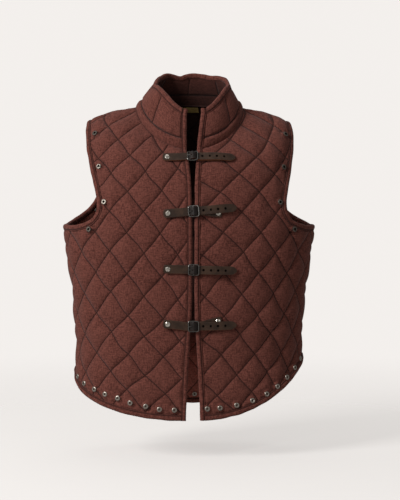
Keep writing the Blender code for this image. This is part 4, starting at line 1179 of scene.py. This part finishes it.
class GAMBESON_PG_hardware(bpy.types.PropertyGroup):
    """Straps, buckles, rivets and eyelets."""

    leather_dark: colour_setting("Dark leather", "Darker tone", (0.0200, 0.0092, 0.0044))
    leather_light: colour_setting("Light leather", "Lighter tone", (0.0450, 0.0220, 0.0115))
    # Reddish edge colour, made bright as a painted highlight on the down-facing edges.
    leather_edge_and_highlight: colour_setting("Leather edge", "Cut edges that face down", (0.260, 0.085, 0.035))
    # Painted shade of the leather inside a buckle.
    leather_buckle_shade: colour_setting("Inside a buckle", "Leather shaded by it", (0.003, 0.002, 0.002))
    nickel: colour_setting("Nickel", "Eyelets of the hem", (0.37, 0.33, 0.285))
    # Painted shade: a darker copy of the nickel for the armhole eyelets.
    shaded_nickel: colour_setting("Shaded nickel", "Eyelets of the armholes", (0.15, 0.132, 0.112))
    rivet: colour_setting("Rivet", "Rivet caps of the straps", (0.90, 0.84, 0.74))
    gunmetal: colour_setting("Gunmetal", "Buckles and prongs", (0.180, 0.172, 0.160))
    eyelet_radius: length_setting("Eyelet radius", "Outer radius of an eyelet's flange", 0.0056)
    eyelet_hole: length_setting("Eyelet hole", "Radius of an eyelet's hole", 0.0026)
    hem_eyelet_radius: length_setting("Hem eyelet radius", "Outer radius of its flange", 0.0053)
    hem_eyelet_hole: length_setting("Hem eyelet hole", "Radius of a hem eyelet's hole", 0.0021)
    eyelet_height: length_setting("Eyelet height", "Height of an eyelet's flange", 0.0012)
    eyelet_lift: length_setting("Eyelet lift", "Height of the flange's underside", 0.0009)


class GAMBESON_PG_stage(bpy.types.PropertyGroup):
    """Camera, lights and floor."""

    azimuth: angle_setting("Azimuth", "Camera direction", -3.5)
    elevation: angle_setting("Elevation", "Camera height angle", 1.0)
    distance: length_setting("Distance", "Camera to the centre line", 2.7, high=20.0)
    aim_height: length_setting("Aim height", "Height that the camera looks at", -0.295, low=-2.0)
    aim_side: length_setting("Aim side", "How far past the centre line it looks", 0.0222, low=-1.0)
    lens: amount_setting("Lens", "Focal length in millimetres", 93.0)
    floor_drop: length_setting("Floor", "Floor's height", -0.715, low=-2.0)
    paper: colour_setting("Paper", "Colour of the floor and the background", (0.90, 0.868, 0.842))
    ambient: amount_setting("Ambient", "Strength of the light from all round", 0.28)


# ---- operators ----
# Holes of the four long straps: middle of the leather (x, y, z), and the way the strap faces.
STRAP_HOLES = np.array((
    (0.0195, -0.1070, -0.1049, 0.006, -0.846, 0.532),
    (0.0346, -0.1080, -0.1047, 0.023, -0.861, 0.508),
    (0.0485, -0.1082, -0.1047, 0.035, -0.865, 0.500),
    (0.0630, -0.1070, -0.1055, 0.047, -0.868, 0.494),
    (0.0195, -0.1380, -0.2139, 0.010, -0.995, 0.100),
    (0.0346, -0.1386, -0.2125, 0.039, -0.994, 0.105),
    (0.0485, -0.1383, -0.2113, 0.061, -0.992, 0.109),
    (0.0630, -0.1363, -0.2101, 0.087, -0.990, 0.113),
    (0.0195, -0.1391, -0.3325, 0.011, -0.999, -0.051),
    (0.0347, -0.1398, -0.3330, 0.040, -0.998, -0.052),
    (0.0487, -0.1396, -0.3334, 0.063, -0.997, -0.053),
    (0.0633, -0.1377, -0.3337, 0.089, -0.995, -0.054),
    (0.0195, -0.1323, -0.4445, 0.012, -0.997, -0.073),
    (0.0347, -0.1330, -0.4443, 0.044, -0.996, -0.073),
    (0.0487, -0.1328, -0.4441, 0.068, -0.995, -0.073),
    (0.0633, -0.1308, -0.4438, 0.097, -0.993, -0.073),
))
# Eyelets along the armhole: distance from the shoulder tip, and from the finished edge.
EYELETS_FRONT = ((0.061, 0.0265), (0.137, 0.0215), (0.211, 0.0165), (0.280, 0.0165))
EYELETS_BACK = ((0.061, 0.0165), (0.121, 0.0165), (0.181, 0.0165), (0.240, 0.0165))

# Eyelets along the hem: distance from the middle of the front or back, and height above the hem.
HEM_EYELETS = {
    (1, True): (
        (0.0281, 0.0230), (0.0540, 0.0215), (0.0889, 0.0190), (0.1241, 0.0160), (0.1590, 0.0130),
        (0.1880, 0.0122), (0.2180, 0.0125), (0.2480, 0.0130), (0.2780, 0.0135),
    ),
    (-1, True): (
        (0.0378, 0.0210), (0.0677, 0.0205), (0.0954, 0.0230), (0.1277, 0.0235), (0.1545, 0.0260),
        (0.1834, 0.0245), (0.2104, 0.0235), (0.2420, 0.0205), (0.2710, 0.0185),
    ),
    (1, False): tuple((0.0184 + 0.0300 * step, 0.0195) for step in range(11)),
    (-1, False): tuple((0.0116 + 0.0300 * step, 0.0195) for step in range(11)),
}


class PartOperator:
    bl_options = {"REGISTER", "UNDO"}

    def execute(self, context):
        self.build(context.scene.gambeson_cloth, context.scene.gambeson_hardware, context.scene)
        return {"FINISHED"}


def panel_set():
    return {(sign, front): panel_places(sign, front) for sign in (1, -1) for front in (True, False)}


def ride(obj, slot_name, *nodes):
    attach(obj, "root")
    if nodes:
        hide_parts(*nodes)


def spot_at(angle, at):
    return surface(BODY_SECTIONS, angle, at), outward(BODY_SECTIONS, angle, at)


def armhole_spots(sign, front):
    """Points and normals of the eyelets beside one armhole, on its front or its back."""
    spots = []
    for distance, inset in EYELETS_FRONT if front else EYELETS_BACK:
        line = np.array(armhole_inset(inset, front)[::-1])
        run = run_of(surface(BODY_SECTIONS, line[:, 0], line[:, 1]))
        angle, at = (np.interp(distance, run, line[:, i]) for i in (0, 1))
        spots.append(spot_at(sign * angle, at))
    return spots


def hem_spots(sign, front):
    """Points and normals of the hem's eyelets on one front, or on one half of the back."""
    ends = (0.03, math.pi / 2) if front else (math.pi, math.pi / 2)
    spots = []
    for distance, rise in HEM_EYELETS[sign, front]:
        line = np.array([hem_place(sign * angle, rise) for angle in np.linspace(*ends, 40)])
        points = surface(BODY_SECTIONS, line[:, 0], line[:, 1])
        run = run_of(points) + abs(points[0, 0])
        if distance > run[-1] - 0.010:
            break
        spots.append(spot_at(*(np.interp(distance, run, line[:, i]) for i in (0, 1))))
    return spots


class GAMBESON_OT_materials(PartOperator, bpy.types.Operator):
    """Make the cloth, leather and metal materials"""

    bl_idname = "gambeson.materials"
    bl_label = "Materials"

    def build(self, cloth, hardware, scene):
        weave = make_weave_group()
        quilting = make_quilting_group()
        for name in ("Gambeson cloth", "Gambeson lining"):
            cloth_material(name, cloth, weave, quilting)
        binding_material(cloth, weave, make_edge_stitch_group())
        tape_material(cloth)
        leather_material(hardware)
        metal_material("Gambeson nickel", hardware.nickel, 0.36, 0.45)
        # A darker copy of the eyelet nickel: painted shade for the armhole eyelets.
        metal_material("Gambeson shaded nickel", hardware.shaded_nickel, 0.42, 0.30)
        metal_material("Gambeson bright nickel", hardware.rivet, 0.14, 0.25)
        metal_material("Gambeson gunmetal", hardware.gunmetal, 0.24, 0.6)
        # Painted shadow for the holes of the eyelets and the straps.
        hole_material("Gambeson eyelet hole", (0.001, 0.0008, 0.0007), (0.004, 0.003, 0.0025))
        hole_material("Gambeson eyelet shade", (0.050, 0.036, 0.028), (0.110, 0.085, 0.070))


class GAMBESON_OT_panels(PartOperator, bpy.types.Operator):
    """Build the two fronts and the back as quilted padding"""

    bl_idname = "gambeson.panels"
    bl_label = "Panels"

    def build(self, cloth, hardware, scene):
        panels = panel_set()
        for side, sign, cut in (("left", 1, (0.29, 0.62)), ("right", -1, (0.29, 0.62))):
            places = fine_panel(panels[sign, True]) * (sign, 1)
            spots = armhole_spots(sign, True) + hem_spots(sign, True)
            obj = padded_panel(
                f"front_{side}_cloth", places, from_middle,
                lambda s, z, p, sign=sign: quilt_front(sign, s, z, p), False,
                [spot for spot, _ in spots], cloth, 10 + sign,
            )
            ride(obj, "cloth", "front_" + side)
        left, right = (fine_panel(panels[sign, False]) for sign in (1, -1))
        places = np.concatenate([left[:, ::-1], (2 * math.pi, 0) + right[:, 1:] * (-1, 1)], axis=1)
        spots = [spot for sign in (1, -1) for spot in armhole_spots(sign, False)]
        spots += [spot for sign in (1, -1) for spot in hem_spots(sign, False)]
        obj = padded_panel(
            "back_cloth", places, from_centre_back, quilt_back, True,
            [spot for spot, _ in spots], cloth, 14,
        )
        ride(obj, "cloth", "back")


class GAMBESON_OT_collar(PartOperator, bpy.types.Operator):
    """Build the stand collar's two halves"""

    bl_idname = "gambeson.collar"
    bl_label = "Collar"

    def build(self, cloth, hardware, scene):
        places = collar_places(panel_places(1, True), panel_places(1, False))
        for side, sign in (("left", 1), ("right", -1)):
            fine = finer(places, (8,), 5)
            fine[:, -1, 0] = math.pi + SEAM_GAP / 0.06
            fine *= (sign, 1)
            obj = padded_collar(f"collar_{side}_cloth", fine, 8, cloth, 50 + sign)
            ride(obj, "cloth", "collar_" + side)


class GAMBESON_OT_bindings(PartOperator, bpy.types.Operator):
    """Fold a padded strip over every edge"""

    bl_idname = "gambeson.bindings"
    bl_label = "Bindings"

    def build(self, cloth, hardware, scene):
        panels = panel_set()
        collar = collar_places(panels[1, True], panels[1, False])
        edges = []
        for side, sign in (("left", 1), ("right", -1)):
            front, back = panels[sign, True], panels[sign, False]
            edges.append(("front_binding_" + side, front_edge(sign, front, collar), WALL, False))
            edges.append(("armhole_binding_" + side, armhole_edge(sign, front, back), WALL, True))
            edges.append(("hem_binding_" + side, hem_edge(flipped(front[0], sign), -sign), WALL, False))
        hem = np.concatenate([panels[1, False][0][:0:-1], flipped(panels[-1, False][0], -1)])
        edges.append(("hem_binding_back", hem_edge(hem, -1), WALL, False))
        edges.append(("collar_binding", rim_edge(collar), COLLAR_WALL, False))
        for seed, (node, edge, thick, closed) in enumerate(edges):
            short = cloth.front_pull if node.startswith("front") else 0.0
            obj = bound_edge(node + "_cloth", edge, thick, cloth, 70 + seed, closed, short)
            ride(obj, "cloth_binding", node)


class GAMBESON_OT_label(PartOperator, bpy.types.Operator):
    """Sew the blank tape inside the back of the neck"""

    bl_idname = "gambeson.label"
    bl_label = "Label"

    def build(self, cloth, hardware, scene):
        across = 0.98 * math.pi + np.linspace(-1, 1, 25) * 0.0195 / 0.08
        angle, at = np.meshgrid(across, np.linspace(8.70, 8.985, 9))
        points, normals = surface(BODY_SECTIONS, angle, at), outward(BODY_SECTIONS, angle, at)
        lie = 0.0025 + 0.0005 * ripple(points, 0.02, 90)
        outer = points - normals * (WALL + lie)[..., None]
        inner = outer - normals * 0.0006
        maps = {"Cloth": np.stack([steps_along(points, 1), steps_along(points, 0)], -1)}
        obj = wall_mesh("neck_tape", outer, inner, maps, ("Gambeson tape",))
        ride(obj, "tape", "neck_label")


class GAMBESON_OT_straps(PartOperator, bpy.types.Operator):
    """Give the straps, buckles, rivets and eyelets their leather and metal"""

    bl_idname = "gambeson.straps"
    bl_label = "Straps and buckles"

    def build(self, cloth, hardware, scene):
        for part in frame["record"]["subparts"]:
            node, kind = part["node"], part["material_slot"]
            if kind not in ("leather", "gunmetal", "nickel"):
                continue
            if "_rivet_" in node:
                kind = "bright nickel"
            # The armhole eyelets take the darker copy of the nickel as painted shade.
            elif node.startswith("eyelet_"):
                kind = "shaded nickel"
            for slot in frame["nodes"][node].material_slots:
                slot.material = bpy.data.materials["Gambeson " + kind]
        # Dark discs in the straps' holes: painted shadow.
        spots = [(row[:3], unit(row[3:])) for row in STRAP_HOLES]
        disc = ((0.0025, 0.00112), (0.0018, -0.0008), (0.0, -0.0008), (0.0, 0.00112))
        obj = placed_rings("strap_holes", disc, spots, 0.0, "Gambeson eyelet hole", 20)
        ride(obj, "leather")


class GAMBESON_OT_eyelets(PartOperator, bpy.types.Operator):
    """Set the hem's eyelets, and dark cups in all eyelets' holes as painted shadow"""

    bl_idname = "gambeson.eyelets"
    bl_label = "Eyelets"

    def build(self, cloth, hardware, scene):
        rise = hardware.eyelet_height
        low_ring = eyelet_profile(hardware.hem_eyelet_radius, hardware.hem_eyelet_hole, rise)
        low_cup = cup_profile(hardware.hem_eyelet_hole, rise)
        high_ring = eyelet_profile(hardware.eyelet_radius, hardware.eyelet_hole, rise)
        high_cup = cup_profile(hardware.eyelet_hole, rise)
        groups = {
            "left": hem_spots(1, True),
            "right": hem_spots(-1, True),
            "back": hem_spots(1, False) + hem_spots(-1, False),
        }
        low = [spot for group in groups.values() for spot in group]
        sides = [(sign, front) for sign in (1, -1) for front in (True, False)]
        high = [spot for side in sides for spot in armhole_spots(*side)]
        rings = [
            *(("hem_eyelets_" + name, low_ring, spots, "nickel", 32) for name, spots in groups.items()),
            ("hem_washers", turned_over(low_ring), low, "nickel", 32),
            ("armhole_washers", turned_over(high_ring), high, "shaded nickel", 32),
            # The cups in the holes are painted shadow.
            ("hem_holes", low_cup, low, "eyelet shade", 20),
            ("hem_washer_holes", turned_over(low_cup), low, "eyelet shade", 20),
            ("armhole_holes", high_cup, high, "eyelet hole", 20),
            ("armhole_washer_holes", turned_over(high_cup), high, "eyelet shade", 20),
        ]
        for name, profile, spots, kind, steps in rings:
            lift = hardware.eyelet_lift
            obj = placed_rings(name, profile, spots, lift, "Gambeson " + kind, steps)
            ride(obj, "nickel")


class GAMBESON_OT_stage(PartOperator, bpy.types.Operator):
    """Set the camera, the soft lights and the pale floor"""

    bl_idname = "gambeson.stage"
    bl_label = "Stage"

    def build(self, cloth, hardware, scene):
        stage = scene.gambeson_stage
        collection = bpy.data.collections.new("Stage")
        scene.collection.children.link(collection)
        back = Vector((
            math.sin(stage.azimuth) * math.cos(stage.elevation),
            -math.cos(stage.azimuth) * math.cos(stage.elevation),
            math.sin(stage.elevation),
        ))
        right = Vector((math.cos(stage.azimuth), math.sin(stage.azimuth), 0))
        aim = Vector((0, 0, stage.aim_height))
        camera = bpy.data.objects.new("Camera", bpy.data.cameras.new("Camera"))
        camera.location = aim + back * stage.distance
        look = aim + right * stage.aim_side - camera.location
        camera.rotation_mode = "QUATERNION"
        camera.rotation_quaternion = look.to_track_quat("-Z", "Y")
        camera.data.lens = stage.lens
        camera.data.sensor_width = 36
        camera.data.clip_end = 100
        collection.objects.link(camera)
        scene.camera = camera
        paper = colour(stage.paper)
        tree, shader = new_material("Stage paper", roughness=0.95)
        place = object_place(tree)
        cloud = ramp(tree, noise(tree, place, 3.0), 0.3, 0.7)
        shade = tuple(value * 0.985 for value in stage.paper)
        tree.links.new(mix_colour(tree, cloud, paper, colour(shade)), shader.inputs["Base Color"])
        reach = add(tree, "ShaderNodeVectorMath", place, operation="LENGTH").outputs["Value"]
        tree.links.new(ramp(tree, reach, 0.3, 2.2, 0.34, 0.0), shader.inputs["Alpha"])
        mesh = bpy.data.meshes.new("Floor")
        size = 30
        corners = [(x * size, y * size, 0) for x, y in ((-1, -1), (1, -1), (1, 1), (-1, 1))]
        mesh.from_pydata(corners, [], [(0, 1, 2, 3)])
        mesh.materials.append(bpy.data.materials["Stage paper"])
        floor = bpy.data.objects.new("Floor", mesh)
        floor.location.z = stage.floor_drop
        collection.objects.link(floor)
        world = bpy.data.worlds.new("Studio")
        world.use_nodes = True
        nodes = world.node_tree
        background = nodes.nodes["Background"]
        background.inputs[0].default_value = paper
        seen = add(nodes, "ShaderNodeLightPath").outputs["Is Camera Ray"]
        nodes.links.new(ramp(nodes, seen, 0, 1, stage.ambient, 1.0), background.inputs[1])
        scene.world = world
        for name, place, size, energy in (
            ("Key", (-2.7, -2.0, 1.5), 1.3, 150),
            ("Fill", (2.4, -2.8, 0.6), 2.2, 8),
            ("Top", (0.0, 0.6, 2.6), 2.0, 16),
        ):
            light = bpy.data.lights.new(name, "AREA")
            light.shape = "SQUARE"
            light.size = size
            light.energy = energy
            obj = bpy.data.objects.new(name, light)
            obj.location = place
            way = Vector((0, 0, -0.3)) - obj.location
            obj.rotation_mode = "QUATERNION"
            obj.rotation_quaternion = way.to_track_quat("-Z", "Y")
            collection.objects.link(obj)
        scene.view_settings.view_transform = "Standard"


class GAMBESON_PT_panel(bpy.types.Panel):
    """The gambeson's settings and steps"""

    bl_idname = "GAMBESON_PT_panel"
    bl_label = "Gambeson"
    bl_space_type = "VIEW_3D"
    bl_region_type = "UI"
    bl_category = "Gambeson"

    def draw(self, context):
        layout = self.layout
        for label, group in (
            ("Cloth", context.scene.gambeson_cloth),
            ("Hardware", context.scene.gambeson_hardware),
            ("Stage", context.scene.gambeson_stage),
        ):
            box = layout.box()
            box.label(text=label)
            for key in group.bl_rna.properties.keys():
                if key not in ("rna_type", "name"):
                    box.prop(group, key)
        for operator in OPERATORS:
            layout.operator(operator.bl_idname)


OPERATORS = (
    GAMBESON_OT_materials,
    GAMBESON_OT_panels,
    GAMBESON_OT_collar,
    GAMBESON_OT_bindings,
    GAMBESON_OT_label,
    GAMBESON_OT_straps,
    GAMBESON_OT_eyelets,
    GAMBESON_OT_stage,
)
GROUPS = {
    "gambeson_cloth": GAMBESON_PG_cloth,
    "gambeson_hardware": GAMBESON_PG_hardware,
    "gambeson_stage": GAMBESON_PG_stage,
}


def register():
    for kind in (*GROUPS.values(), *OPERATORS, GAMBESON_PT_panel):
        bpy.utils.register_class(kind)
    for name, kind in GROUPS.items():
        setattr(bpy.types.Scene, name, bpy.props.PointerProperty(type=kind))


def unregister():
    for name in GROUPS:
        delattr(bpy.types.Scene, name)
    for kind in (GAMBESON_PT_panel, *reversed(OPERATORS), *GROUPS.values()):
        bpy.utils.unregister_class(kind)


def main():
    register()
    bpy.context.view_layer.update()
    for operator in OPERATORS:
        group, name = operator.bl_idname.split(".")
        getattr(getattr(bpy.ops, group), name)()


if __name__ == "__main__":
    main()
